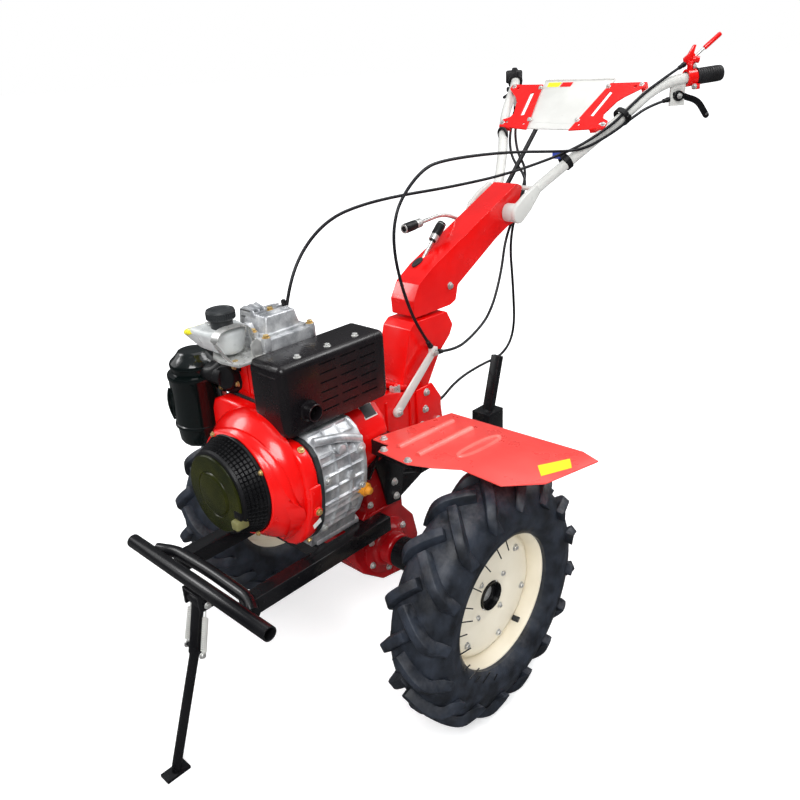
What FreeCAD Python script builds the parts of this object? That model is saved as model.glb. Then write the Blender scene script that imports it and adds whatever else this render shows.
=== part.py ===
# Walk-behind power weeder with an air-cooled diesel engine and two driven wheels.
# Machine frame: x to the machine's left, y to the rear, z up, millimetres, floor at z = 0.
# The outlines below take y = 0 at the wheel axle; every node is moved forward by origin_shift at
# the end, so that the origin is at the middle of the whole machine's footprint.
import FreeCAD, Part
import math
import os
import Sketcher
from FreeCAD import Placement, Rotation, Vector

doc = FreeCAD.newDocument("PowerWeeder")
sheet = doc.addObject("Spreadsheet::Sheet", "dims")

DRIVING = (
    ("origin_shift", 191.0),
    ("axle_height", 238.0),
    ("tyre_radius", 238.0),
    ("tyre_width", 114.0),
    ("wheel_offset", 307.0),
    ("rim_width", 78.0),
    ("rim_radius", 141.0),
    ("bead_radius", 129.0),
    ("rim_gauge", 4.0),
    ("lug_count", 16.0),
    ("lug_gauge", 18.0),
    ("shaft_radius", 16.0),
    ("hub_radius", 24.0),
    ("crank_height", 490.0),
    ("engine_base", 345.0),
    ("case_half_width", 122.0),
    ("case_front", -205.0),
    ("case_rear", -98.0),
    ("drum_radius", 90.0),
    ("disc_radius", 69.0),
    ("muffler_length", 238.0),
    ("muffler_width", 87.0),
    ("muffler_height", 129.0),
    ("can_radius", 50.0),
    ("can_height", 136.0),
    ("gearbox_half_width", 50.0),
    ("lower_case_half_width", 52.0),
    ("fender_gauge", 3.0),
    ("fender_height", 500.0),
    ("column_half_width", 33.0),
    ("swivel_height", 667.0),
    ("swivel_setback", 190.0),
    ("swivel_radius", 18.0),
    ("tilt_height", 826.0),
    ("tilt_setback", 444.0),
    ("handle_radius", 11.0),
    ("grip_radius", 16.0),
    ("bumper_radius", 13.0),
    ("bumper_length", 400.0),
    ("stand_setback", -398.0),
    ("stand_height", 316.0),
    ("rail_size", 30.0),
    ("rail_offset", 98.0),
    ("cable_radius", 3.0),
)
for row, (alias, amount) in enumerate(DRIVING, start=1):
    sheet.set("A%d" % row, alias)
    sheet.set("B%d" % row, str(amount))
    sheet.setAlias("B%d" % row, alias)
doc.recompute()

nodes = []


def dim(alias):
    return float(sheet.get(alias))


def finish(obj, node):
    """Name a finished sub-part and put it in the frame of the whole machine."""
    obj.Label = node
    doc.recompute()
    obj.setExpression(".Placement.Base.y", "%.1f - dims.origin_shift" % obj.Placement.Base.y)
    nodes.append((node, obj))
    return obj


def origin_feature(body, role):
    for feature in body.Origin.OriginFeatures:
        if feature.Role == role:
            return feature
    raise ValueError(role)


def new_body(node):
    return doc.addObject("PartDesign::Body", node + "_body")


def new_sketch(body, plane, name, rise=0.0):
    """A sketch on an origin plane of the body, lifted by rise along the plane's normal."""
    sketch = body.newObject("Sketcher::SketchObject", name)
    sketch.AttachmentSupport = [(origin_feature(body, plane), "")]
    sketch.MapMode = "FlatFace"
    sketch.AttachmentOffset = Placement(Vector(0, 0, rise), Rotation())
    return sketch


def outline(sketch, points):
    """A closed outline of straight lines, each corner fixed from the sketch's origin."""
    first = sketch.GeometryCount
    count = len(points)
    for index in range(count):
        start = Vector(points[index][0], points[index][1], 0)
        end = Vector(points[(index + 1) % count][0], points[(index + 1) % count][1], 0)
        sketch.addGeometry(Part.LineSegment(start, end), False)
    for index in range(count):
        following = first + (index + 1) % count
        sketch.addConstraint(Sketcher.Constraint("Coincident", first + index, 2, following, 1))
    for index, (across, up) in enumerate(points):
        sketch.addConstraint(Sketcher.Constraint("DistanceX", -1, 1, first + index, 1, across))
        sketch.addConstraint(Sketcher.Constraint("DistanceY", -1, 1, first + index, 1, up))


def ring(sketch, across, up, radius, expression=None):
    """A circle in a sketch, its radius bound to the sheet where an expression is given."""
    index = sketch.addGeometry(Part.Circle(Vector(across, up, 0), Vector(0, 0, 1), radius), False)
    sketch.addConstraint(Sketcher.Constraint("DistanceX", -1, 1, index, 3, across))
    sketch.addConstraint(Sketcher.Constraint("DistanceY", -1, 1, index, 3, up))
    number = sketch.addConstraint(Sketcher.Constraint("Radius", index, radius))
    if expression:
        sketch.setExpression("Constraints[%d]" % number, expression)


def pad(body, sketch, name, length, both_ways=False, backwards=False):
    """Pad a sketch; length is a number or an expression on the sheet."""
    feature = body.newObject("PartDesign::Pad", name)
    feature.Profile = sketch
    feature.Length = 10.0
    if isinstance(length, str):
        feature.setExpression("Length", length)
    else:
        feature.Length = length
    if both_ways:
        feature.SideType = "Symmetric"
    feature.Reversed = backwards
    return feature


def pocket_through(body, sketch, name):
    """A hole through everything, both ways from its sketch."""
    feature = body.newObject("PartDesign::Pocket", name)
    feature.Profile = sketch
    feature.Type = "ThroughAll"
    feature.SideType = "Symmetric"
    return feature


def edges_along(shape, axis, shortest=1.0):
    """Names of the straight edges that run along an axis."""
    names = []
    for index, edge in enumerate(shape.Edges, start=1):
        if edge.Curve.TypeId != "Part::GeomLine" or edge.Length < shortest:
            continue
        if abs(edge.tangentAt(edge.FirstParameter).dot(axis)) > 0.999:
            names.append("Edge%d" % index)
    return names


def fillet(body, feature, axis, radius, pick=None):
    """Round the edges of a feature that run along an axis."""
    doc.recompute()
    names = edges_along(feature.Shape, axis)
    if pick:
        names = [name for name in names if pick(feature.Shape.getElement(name).CenterOfMass)]
    rounded = body.newObject("PartDesign::Fillet", feature.Name + "_round")
    rounded.Base = (feature, names)
    rounded.Radius = radius
    return rounded


def place(obj, base, rotation=None):
    obj.Placement = Placement(Vector(*base), rotation or Rotation())


def revolve(node, points, axis_role, plane):
    """A body turned about an axis of its own origin from one outline."""
    body = new_body(node)
    sketch = new_sketch(body, plane, node + "_outline")
    outline(sketch, points)
    turned = body.newObject("PartDesign::Revolution", node + "_turned")
    turned.Profile = sketch
    turned.ReferenceAxis = (origin_feature(body, axis_role), [""])
    turned.Angle = 360.0
    return body, turned


def rounded_path(points, most=None):
    """Straight runs joined by tangent arcs, each as wide as its two runs allow."""
    corners = [Vector(*point) for point in points]
    edges = []
    start = corners[0]
    for index in range(1, len(corners) - 1):
        here = corners[index]
        back = (corners[index - 1] - here)
        ahead = (corners[index + 1] - here)
        shorter = min(back.Length, ahead.Length)
        back.normalize()
        ahead.normalize()
        turn = math.pi - back.getAngle(ahead)
        setback = 0.45 * shorter
        if most:
            setback = min(setback, most * math.tan(turn / 2))
        arc_start = here + back * setback
        arc_end = here + ahead * setback
        radius = setback / math.tan(turn / 2)
        to_centre = (back + ahead)
        to_centre.normalize()
        middle = here + to_centre * (radius / math.cos(turn / 2) - radius)
        edges.append(Part.LineSegment(start, arc_start).toShape())
        edges.append(Part.Arc(arc_start, middle, arc_end).toShape())
        start = arc_end
    edges.append(Part.LineSegment(start, corners[-1]).toShape())
    return Part.Wire(edges)


def tube(path, radius):
    """A round bar along a path."""
    first = path.Edges[0]
    direction = first.tangentAt(first.FirstParameter)
    start = first.valueAt(first.FirstParameter)
    profile = Part.Wire(Part.Circle(start, direction, radius).toShape())
    solid = path.makePipeShell([profile], True, False)
    expected = math.pi * radius ** 2 * path.Length
    if abs(solid.Volume / expected - 1.0) > 0.03:
        raise ValueError("tube volume %.0f, expected %.0f" % (solid.Volume, expected))
    return solid


def shape_node(node, shape):
    """A sub-part whose form needs Part's own functions."""
    feature = doc.addObject("Part::Feature", node + "_shape")
    feature.Shape = shape
    return finish(feature, node)


def solid_of(node):
    """A finished sub-part's solid, in the frame of the outlines."""
    shape = dict(nodes)[node].Shape.copy()
    shape.translate(Vector(0, dim("origin_shift"), 0))
    return shape


def cut_round(shape, *others):
    """Cut a shape back to the faces of the sub-parts that it sits against."""
    doc.recompute()
    return shape.cut([solid_of(node) for node in others]).removeSplitter()


def box_at(low, high):
    size = [high[i] - low[i] for i in range(3)]
    return Part.makeBox(size[0], size[1], size[2], Vector(*low))


def bar_along_x(x_low, x_high, y, z, radius):
    return Part.makeCylinder(radius, x_high - x_low, Vector(x_low, y, z), Vector(1, 0, 0))


def rod(start, end, radius):
    """A round bar between two points."""
    low, high = Vector(*start), Vector(*end)
    return Part.makeCylinder(radius, (high - low).Length, low, high - low)


def mirrored_outline(side, y, inset):
    """A closed upright outline from the corners of its left half, drawn in by an inset."""
    left = [Vector(x - inset, y, z) for x, z in side]
    right = [Vector(-point.x, y, point.z) for point in reversed(left)]
    return left + right + left[:1]


def mirrored(shape):
    return shape.mirror(Vector(0, 0, 0), Vector(1, 0, 0))


def side_prism(node, points, half_width, corner=0.0):
    """A piece cut to a side outline (y, z) and padded equally to both sides."""
    body = new_body(node)
    sketch = new_sketch(body, "YZ_Plane", node + "_outline")
    outline(sketch, points)
    block = pad(body, sketch, node + "_block", half_width, both_ways=True)
    if corner:
        fillet(body, block, Vector(1, 0, 0), corner)
    return body


# ---------------------------------------------------------------- wheels
def wheel(side, sign):
    """Rim, tyre and hub of one side, turned about the x axis of their own bodies."""
    half = dim("tyre_width") / 2
    bead = dim("bead_radius")
    lip = dim("rim_radius")
    gauge = dim("rim_gauge")
    edge = dim("rim_width") / 2
    well = bead - gauge
    dish = 3.0
    bore = dim("hub_radius") + 4.0
    rim_points = ((edge, lip), (edge - gauge, lip), (edge - gauge - 8, bead), (gauge + 8 - edge, bead),
                  (gauge - edge, lip), (-edge, lip), (-edge, lip - 3), (6 - edge, well), (dish, well),
                  (dish, bore), (dish + gauge, bore), (dish + gauge, well), (edge - 6, well),
                  (edge, lip - 3))
    rim_points = [(sign * across, up) for across, up in rim_points]
    rim, turned = revolve("rim_" + side, rim_points, "X_Axis", "XY_Plane")
    place(rim, (sign * dim("wheel_offset"), 0, dim("axle_height")))
    finish(rim, "rim_" + side)

    crown = dim("tyre_radius")
    tyre_points = ((edge - gauge - 8, bead), (edge - gauge, lip), (edge + 2, lip + 4), (half - 2, lip + 18),
                   (half, lip + 34), (half - 1, crown - 48), (half - 8, crown - 28), (half - 22, crown - 19),
                   (0, crown - 17))
    tyre_points = list(tyre_points) + [(-across, up) for across, up in tyre_points[-2::-1]]
    tyre, carcass = revolve("tyre_" + side, tyre_points, "X_Axis", "XY_Plane")
    lugs = []
    for hand in (1, -1):
        row_name = side + ("_outer" if hand > 0 else "_inner")
        lug_sketch = new_sketch(tyre, "XY_Plane", "lug_outline_" + row_name)
        lean = Rotation(Vector(0, 1, 0), hand * -42.0)
        turn = Rotation(Vector(1, 0, 0), 0.0 if hand > 0 else 180.0 / dim("lug_count"))
        lug_sketch.AttachmentOffset = Placement(Vector(0, 0, 0), turn.multiply(lean))
        lug_points = ((-4, crown - 22), (-4, crown), (26, crown - 2), (50, crown - 9), (66, crown - 24),
                      (73, crown - 42), (62, crown - 46), (44, crown - 32))
        outline(lug_sketch, [(hand * across, up) for across, up in lug_points])
        lug = pad(tyre, lug_sketch, "lug_" + row_name, "dims.lug_gauge", both_ways=True)
        lugs.append(lug)
    pattern = tyre.newObject("PartDesign::PolarPattern", "lugs_" + side)
    pattern.Originals = lugs
    pattern.Axis = (origin_feature(tyre, "X_Axis"), [""])
    pattern.Angle = 360.0
    pattern.setExpression("Occurrences", "dims.lug_count")
    tyre.Tip = pattern
    place(tyre, (sign * dim("wheel_offset"), 0, dim("axle_height")))
    finish(tyre, "tyre_" + side)

    plate_x = dim("wheel_offset") + dish
    level = dim("axle_height")
    sleeve = bar_along_x(97, plate_x, 0, level, dim("hub_radius"))
    plate = bar_along_x(plate_x - 8, plate_x, 0, level, 54)
    hole = bar_along_x(90, plate_x + 10, 0, level, dim("shaft_radius"))
    hub = sleeve.fuse(plate).cut(hole).removeSplitter()
    shape_node("hub_" + side, hub if sign > 0 else mirrored(hub))


wheel("left", 1)
wheel("right", -1)

axle = doc.addObject("Part::Cylinder", "axle_shaft_bar")
axle.setExpression("Radius", "dims.shaft_radius - 0.05")
axle.setExpression("Height", "2 * dims.wheel_offset")
along_x = Rotation(Vector(0, 1, 0), 90)
place(axle, (-dim("wheel_offset"), 0, dim("axle_height")), along_x)
finish(axle, "axle_shaft")


# ---------------------------------------------------------------- gearbox
def gearbox_lower():
    """Final drive case with the round bosses that carry the output shaft."""
    points = ((-45, 432), (55, 432), (58, 300), (88, 264), (100, 212), (86, 166), (46, 147),
              (-10, 156), (-62, 196), (-84, 240), (-88, 276), (-62, 312), (-46, 330))
    body = side_prism("gearbox_lower", points, "2 * dims.lower_case_half_width", 8.0)
    boss_sketch = new_sketch(body, "YZ_Plane", "boss_outline")
    ring(boss_sketch, 0, dim("axle_height"), 34.0)
    boss_sketch.setExpression("Constraints[1]", "dims.axle_height")
    pad(body, boss_sketch, "bosses", 184.0, both_ways=True)
    bore_sketch = new_sketch(body, "YZ_Plane", "bore_outline")
    ring(bore_sketch, 0, dim("axle_height"), dim("shaft_radius"), "dims.shaft_radius")
    bore_sketch.setExpression("Constraints[1]", "dims.axle_height")
    pocket_through(body, bore_sketch, "bore")
    finish(body, "gearbox_lower")


def case_top(y):
    """Height of the upper gear case's sloping top at a setback."""
    return 548.0 - 42.0 * (y - 60.0) / 125.0


def gearbox_upper():
    """Gear case and the round clutch housing that bolts to the engine."""
    points = ((-48, 432), (-48, 562), (-10, 564), (60, case_top(60)), (185, case_top(185)), (194, 432))
    body = side_prism("gearbox_upper", points, "2 * dims.gearbox_half_width", 10.0)
    bell_sketch = new_sketch(body, "XZ_Plane", "bell_outline", 48.0)
    ring(bell_sketch, 0, dim("crank_height"), 74.0)
    bell_sketch.setExpression("Constraints[1]", "dims.crank_height")
    pad(body, bell_sketch, "bell_housing", "-dims.case_rear - 48")
    finish(body, "gearbox_upper")


def clutch_arm():
    """Flat arm on the case's left side that both clutch cables pull."""
    low, high = Vector(54, 55, 511), Vector(54, 164, 601)
    along = high - low
    length = along.Length
    strip = Part.makeBox(4, length, 16, Vector(-2, 0, -8))
    tilt = math.degrees(math.atan2(along.z, along.y))
    strip.Placement = Placement(low, Rotation(Vector(1, 0, 0), tilt))
    hub = bar_along_x(50, 60, low.y, low.z, 13)
    clevis = bar_along_x(46, 62, high.y, high.z, 9)
    shape_node("clutch_arm", strip.multiFuse([hub, clevis]).removeSplitter())


gearbox_lower()
gearbox_upper()
clutch_arm()


# ---------------------------------------------------------------- engine
def crankcase():
    """Cast case with a foot between the rails, its side walls ribbed along and across."""
    base, front, rear = dim("engine_base"), dim("case_front"), dim("case_rear")
    half = dim("case_half_width")
    side = ((74, base + 4), (78, base + 26), (92, 384), (half - 12, 420), (half - 1, 460), (half, 498),
            (half - 6, 532), (half - 22, 556), (84, 568))
    core = Part.Face(Part.makePolygon(mirrored_outline(side, front, 5.0)))
    case = core.extrude(Vector(0, rear - front, 0))
    whole = Part.Face(Part.makePolygon(mirrored_outline(side, front, 0.0)))
    whole = whole.extrude(Vector(0, rear - front, 0))
    walls = [box_at((-half, y, base), (half, y + 5, 570)) for y in (front, front + 33, front + 67, rear - 5)]
    walls += [box_at((-half, front, z), (half, rear, z + 5)) for z in (384, 424, 464, 504, 544)]
    foot = box_at((-78, front + 13, base), (78, rear + 10, base + 9))
    ribs = whole.common(walls[0].multiFuse(walls[1:]))
    shape_node("crankcase", case.multiFuse([ribs, foot]).removeSplitter())


def fan_shroud():
    """Sheet scroll round the flywheel fan that leads the air up to the cylinder."""
    centre = dim("crank_height")
    front = dim("case_front")
    points = ((60, 366), (92, 384), (112, 406), (124, 440), (128, 480), (127, 520), (116, 548), (88, 566),
              (8, 572), (0, 600), (-12, 608), (-88, 610), (-112, 600), (-120, 580), (-122, 500),
              (-120, 446), (-110, 406), (-90, 384), (-60, 366))
    profile = Part.makePolygon([Vector(x, front, z) for x, z in points + points[:1]])
    scroll = Part.Face(profile).extrude(Vector(0, -36, 0))
    corners = [edge for edge in scroll.Edges if abs(edge.tangentAt(edge.FirstParameter).y) > 0.99
               and edge.CenterOfMass.z > 590]
    scroll = scroll.makeFillet(9.0, corners)
    swell = ((0, 36), (120, 36), (120, 40), (118, 48), (113, 57), (106, 66), (100, 74), (96, 80), (94, 83),
             (0, 83))
    outline_points = [Vector(radius, front - reach, centre) for radius, reach in swell]
    bell = Part.Face(Part.makePolygon(outline_points + outline_points[:1]))
    bell = bell.revolve(Vector(0, front, centre), Vector(0, 1, 0), 360)
    shape_node("fan_shroud", scroll.fuse(bell).removeSplitter())


def recoil_starter():
    """Slotted drum with a raised round middle on its front, and the cord's grip beside it."""
    centre = dim("crank_height")
    back = dim("case_front") - 83
    forward = Vector(0, -1, 0)
    drum_radius, face_radius = dim("drum_radius"), dim("disc_radius")
    drum = Part.makeCone(drum_radius, face_radius + 4, 42, Vector(0, back, centre), forward)
    slots = []
    for index in range(24):
        slot = box_at((drum_radius - 14, back - 34, -3), (drum_radius + 5, back - 6, 3))
        slot.rotate(Vector(0, 0, 0), Vector(0, 1, 0), index * 15.0 + 7.5)
        slot.translate(Vector(0, 0, centre))
        slots.append(slot)
    core = Part.makeCone(drum_radius - 5, face_radius - 1, 42, Vector(0, back, centre), forward)
    drum = drum.cut(slots).fuse(core)
    face = Part.makeCylinder(face_radius, 6, Vector(0, back - 42, centre), forward)
    middle = Part.makeCylinder(36, 4, Vector(0, back - 48, centre), forward)
    shape_node("recoil_starter", drum.multiFuse([face, middle]).removeSplitter())
    grip = box_at((46, back - 60, centre - 46), (74, back - 24, centre - 18))
    grip = grip.makeFillet(5.0, [edge for edge in grip.Edges if edge.Length > 30])
    shape_node("starter_grip", cut_round(grip, "recoil_starter"))


def cylinder_block():
    """Finned cylinder between the case and the head."""
    core = box_at((-78, -196, 568), (-2, -92, 676))
    fins = [box_at((-90, -198, level), (-1, -78, level + 3)) for level in range(582, 676, 14)]
    shape_node("cylinder_block", core.multiFuse(fins).removeSplitter())


def cylinder_head():
    """Head with the exhaust flange on its left and the rocker cover on top."""
    head = box_at((-92, -198, 676), (4, -86, 718))
    flange = box_at((-1, -165, 645), (5, -115, 680))
    cover = box_at((-80, -182, 716), (-12, -104, 752))
    cover = cover.makeFillet(9.0, [edge for edge in cover.Edges if edge.CenterOfMass.z > 717])
    shape_node("cylinder_head", head.multiFuse([flange, cover]).removeSplitter())


def fuel_tank():
    tank = box_at((-125, -306, 694), (-5, -206, 752))
    upright = [edge for edge in tank.Edges if abs(edge.tangentAt(edge.FirstParameter).z) > 0.99]
    tank = tank.makeFillet(38.0, upright)
    rims = [edge for edge in tank.Edges if abs(edge.tangentAt(edge.FirstParameter).z) < 0.01]
    shape_node("fuel_tank", tank.makeFillet(22.0, rims))
    cap_x, cap_y = -34, -250
    neck = rod((cap_x, cap_y, 746), (cap_x, cap_y, 767), 19)
    cap = rod((cap_x, cap_y, 767), (cap_x, cap_y, 783), 24)
    shape_node("fuel_cap", cut_round(neck.fuse(cap), "fuel_tank"))
    shape_node("tank_bracket", box_at((-94, -290, 686), (4, -198, 694)))


def air_cleaner():
    """Upright can with a band low down and a two-tier cap, on a pipe from the head."""
    radius = dim("can_radius")
    tall = dim("can_height")
    points = ((0, 0), (radius - 10, 0), (radius - 4, 6), (radius - 2, 33), (radius + 1, 35), (radius + 1, 40),
              (radius - 1, 42), (radius, tall - 9), (radius + 1.5, tall - 7), (radius + 1.5, tall),
              (radius - 6, tall + 3), (radius - 9, tall + 9), (radius - 6, tall + 13),
              (radius - 6, tall + 20), (25, tall + 41), (0, tall + 41))
    body, turned = revolve("air_cleaner", points, "Z_Axis", "XZ_Plane")
    place(body, (-177, -227, 500))
    finish(body, "air_cleaner")
    route = ((-150, -227, 642), (-110, -227, 642), (-110, -150, 690), (-70, -150, 690))
    elbow = tube(rounded_path(route), 16.0)
    shape_node("intake_elbow", cut_round(elbow, "air_cleaner", "cylinder_head", "cylinder_block"))


def muffler():
    """Pressed box with round lower edges, slotted on its outer side, and an open side outlet."""
    body = new_body("muffler")
    sketch = new_sketch(body, "XZ_Plane", "muffler_outline")
    wide = dim("muffler_width")
    high = dim("muffler_height")
    outline(sketch, ((34, 0), (wide - 13, 0), (wide - 3, 4), (wide, 13), (wide, high), (0, high), (0, 44),
                     (6, 19), (17, 5)))
    sketch.setExpression("Constraints[15]", "dims.muffler_width")
    sketch.setExpression("Constraints[17]", "dims.muffler_width")
    block = pad(body, sketch, "muffler_box", "dims.muffler_length", backwards=True)
    fillet(body, block, Vector(0, 1, 0), 6.0, lambda middle: middle.z > high - 1)
    stub_sketch = new_sketch(body, "YZ_Plane", "stub_outline", wide - 5)
    ring(stub_sketch, 49, 41, 15.0)
    pad(body, stub_sketch, "stub", 23.0)
    mouth_sketch = new_sketch(body, "YZ_Plane", "mouth_outline", wide + 18.0)
    ring(mouth_sketch, 49, 41, 12.5)
    mouth = body.newObject("PartDesign::Pocket", "mouth")
    mouth.Profile = mouth_sketch
    mouth.Length = 30.0
    slot_sketch = new_sketch(body, "YZ_Plane", "slot_outline", wide)
    for column in range(3):
        for row in range(6):
            y, z = 98.0 + 47 * column, 29.5 + 16.5 * row
            outline(slot_sketch, ((y, z), (y + 36, z), (y + 36, z + 3), (y, z + 3)))
    slots = body.newObject("PartDesign::Pocket", "slots")
    slots.Profile = slot_sketch
    slots.Length = 2.5
    place(body, (5, -240, 574))
    finish(body, "muffler")



crankcase()
fan_shroud()
recoil_starter()
cylinder_block()
cylinder_head()
fuel_tank()
air_cleaner()
muffler()


# ---------------------------------------------------------------- frame, bumper and stand
def engine_frame():
    """Two rails under the engine, tied across under the case."""
    size = dim("rail_size")
    top = dim("engine_base")
    inner = dim("rail_offset") - size / 2
    outer = inner + size
    rails = []
    for sign in (-1, 1):
        low, high = sorted((sign * inner, sign * outer))
        rails.append(box_at((low, -372, top - size), (high, -40, top)))
    ties = [box_at((-outer, -196, top - size), (outer, -176, top)),
            box_at((-outer, -100, top - size), (outer, -82, top))]
    shape_node("engine_frame", rails[0].multiFuse(rails[1:] + ties).removeSplitter())


def bumper():
    """Front tube with open ends and the bent brace that ties it to the rails."""
    half = dim("bumper_length") / 2
    radius = dim("bumper_radius")
    y, level = dim("stand_setback"), 348.0
    bar = bar_along_x(-half, half, y, level, radius)
    route = ((-142, -384, level), (-105, -366, level), (0, -362, level), (105, -366, level),
             (142, -384, level))
    brace = tube(rounded_path(route), radius - 2)
    bore = bar_along_x(-half - 1, half + 1, y, level, radius - 3)
    shape_node("bumper", cut_round(bar.fuse(brace).cut(bore), "engine_frame"))


def stand():
    """Prop stand: forked bracket under the bumper, leg with collar and foot plate, two springs."""
    y, z = dim("stand_setback"), dim("stand_height")
    cheeks = [box_at((x, y - 13, z - 12), (x + 5, y + 13, z + 18)) for x in (-24, 19)]
    crown = box_at((-24, y - 13, z + 17), (24, y + 13, z + 21))
    pin = bar_along_x(-28, 28, y, z, 5.0)
    shape_node("stand_bracket", cut_round(crown.multiFuse(cheeks + [pin]), "bumper"))
    knee = Vector(0, -421, 222)
    top = Vector(0, y, z)
    sole = Vector(0, -500, 6)
    upper = rod(top, knee, 10.5)
    lower = rod(knee, sole, 8.5)
    collar = Part.makeCylinder(12, 12, knee - Vector(0, 0, 4), top - knee)
    anchor = bar_along_x(-22, 22, knee.y, knee.z, 3.5)
    head = bar_along_x(-18.5, 18.5, y, z, 12)
    foot = box_at((-12, -524, 0), (12, -478, 6))
    leg = upper.multiFuse([lower, collar, anchor, head, foot]).cut(bar_along_x(-30, 30, y, z, 5.05))
    shape_node("stand_leg", leg.removeSplitter())
    springs = []
    for x in (-18, 18):
        route = ((x, y - 2, z - 20), (x, -411, 262), (x, knee.y, knee.z - 1))
        springs.append(tube(rounded_path(route), 4.0))
    shape_node("stand_springs", cut_round(Part.makeCompound(springs), "stand_leg"))


engine_frame()
bumper()
stand()


# ---------------------------------------------------------------- fenders
def fenders():
    """Flat sheets over the wheels on angle irons, cut back in front and notched round the engine."""
    gauge = dim("fender_gauge")
    level = dim("fender_height")
    irons = []
    for sign in (-1, 1):
        low, high = sorted((sign * 50, sign * 200))
        upright = box_at((low, -46, level - 30), (high, -40, level))
        flat = box_at((low, -40, level - 6), (high, 0, level))
        irons.append(upright.fuse(flat))
    shape_node("fender_brackets", cut_round(Part.makeCompound(irons), "gearbox_upper", "gearbox_lower"))
    points = ((86, -46), (126, -46), (126, -74), (200, -78), (240, -62), (284, -36), (368, -40), (420, 10),
              (448, 126), (410, 140), (128, 128), (86, -30))
    for side, sign in (("left", 1), ("right", -1)):
        wire = Part.makePolygon([Vector(sign * x, y, level) for x, y in points + points[:1]])
        shape_node("fender_" + side, Part.Face(wire).extrude(Vector(0, 0, gauge)))


fenders()


# ---------------------------------------------------------------- hitch and depth bar
def hitch():
    """Drawbar behind the case with its pin hole, and the leaning socket of the depth bar."""
    arm = box_at((-20, 50, 322), (20, 392, 352))
    socket = box_at((-24, 384, 300), (24, 440, 372))
    lean = Rotation(Vector(1, 0, 0), -16.0)
    slot = Part.makeBox(24.6, 16.6, 400, Vector(-12.3, -8.3, -200))
    slot.Placement = Placement(Vector(0, 412, 360), lean)
    gussets = []
    for x in (-25, 20):
        corners = [Vector(x, y, z) for y, z in ((50, 365), (152, 328), (72, 298), (50, 298), (50, 365))]
        gussets.append(Part.Face(Part.makePolygon(corners)).extrude(Vector(5, 0, 0)))
    pin_hole = rod((0, 210, 300), (0, 210, 380), 8.0)
    frame = arm.multiFuse([socket] + gussets).cut([slot, pin_hole])
    shape_node("hitch_frame", cut_round(frame, "gearbox_lower"))
    bar = Part.makeBox(24, 16, 380, Vector(-12, -8, -240))
    bar.Placement = Placement(Vector(0, 412, 360), lean)
    shape_node("depth_bar", bar)


hitch()


# ---------------------------------------------------------------- column
def pedestal():
    """Boxed post bolted to the gear case, with the swivel pin on its crown."""
    points = ((88, case_top(88)), (120, 655), (135, 666), (232, 664), (250, 632), (239, 612), (206, 585),
              (160, case_top(160)))
    body = side_prism("pedestal", points, "2 * dims.column_half_width + 6", 6.0)
    pin_sketch = new_sketch(body, "XY_Plane", "swivel_pin_outline", 640.0)
    ring(pin_sketch, 0, dim("swivel_setback"), 17.95, "dims.swivel_radius - 0.05")
    pin_sketch.setExpression("Constraints[1]", "dims.swivel_setback")
    pad(body, pin_sketch, "swivel_pin", 92.0)
    finish(body, "pedestal")


def column_arm():
    """Boxed arm that swivels on the pedestal and carries the handlebar's pivot."""
    points = ((142, 672), (140, 705), (158, 735), (200, 760), (480, 880), (500, 872), (470, 800),
              (449, 796), (406, 778), (276, 708), (268, 678), (250, 672))
    body = side_prism("column_arm", points, "2 * dims.column_half_width - 6", 6.0)
    swivel_sketch = new_sketch(body, "XY_Plane", "swivel_bore_outline", 660.0)
    ring(swivel_sketch, 0, dim("swivel_setback"), dim("swivel_radius"), "dims.swivel_radius")
    swivel_sketch.setExpression("Constraints[1]", "dims.swivel_setback")
    swivel = body.newObject("PartDesign::Pocket", "swivel_bore")
    swivel.Profile = swivel_sketch
    swivel.Length = 75.0
    swivel.Reversed = True
    tilt_sketch = new_sketch(body, "YZ_Plane", "tilt_bore_outline")
    ring(tilt_sketch, dim("tilt_setback"), dim("tilt_height"), 7.05)
    pocket_through(body, tilt_sketch, "tilt_bore")
    finish(body, "column_arm")


def gear_levers():
    """Two bent rods with hand knobs, one over the arm and one on its right side."""
    shift = rod((-15, 196, 738), (-15, 262, 806), 4).fuse(rod((-15, 254, 798), (-15, 282, 824), 9))
    rod_route = ((-40, 377, 815), (-40, 318, 838), (-40, 236, 831))
    boss = bar_along_x(-46, -29, 377, 813, 7)
    select = tube(rounded_path(rod_route), 4.0).multiFuse([boss, rod((-40, 246, 832), (-40, 198, 828), 9)])
    shape_node("gear_levers", cut_round(Part.makeCompound([shift, select]), "column_arm"))


pedestal()
column_arm()
gear_levers()


# ---------------------------------------------------------------- handlebar
handle_route = ((47, 444, 826), (48, 520, 862), (101, 610, 932), (154, 686, 995), (190, 783, 1060),
                (268, 893, 1071))
panel_low_edge = Vector(0, 645, 978)
panel_slope = 37.6


def handle_end():
    """The handle tube's end and its direction there, on the left."""
    end = Vector(*handle_route[-1])
    along = end - Vector(*handle_route[-2])
    along.normalize()
    return end, along


def both_sides(shape):
    return Part.makeCompound([shape, mirrored(shape)])


def handle_tubes():
    """Two bent tubes from the pivot discs at the arm's end, with lever tabs and a cross rod."""
    y, z = dim("tilt_setback"), dim("tilt_height")
    bent = tube(rounded_path(handle_route), dim("handle_radius"))
    disc = bar_along_x(31, 56, y, z, 19)
    end, along = handle_end()
    heading = -math.degrees(math.atan2(along.x, along.y))
    tab = Part.makeBox(6, 34, 50, Vector(-3, -17, -50))
    tab.Placement = Placement(Vector(213, 815, 1060), Rotation(Vector(0, 0, 1), heading))
    left = bent.multiFuse([disc, tab])
    pin = bar_along_x(-60, 60, y, z, 7.0)
    cross = bar_along_x(-50, 50, 524, 864, 5.0)
    shape_node("handle_tubes", left.multiFuse([mirrored(left), pin, cross]).removeSplitter())


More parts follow.
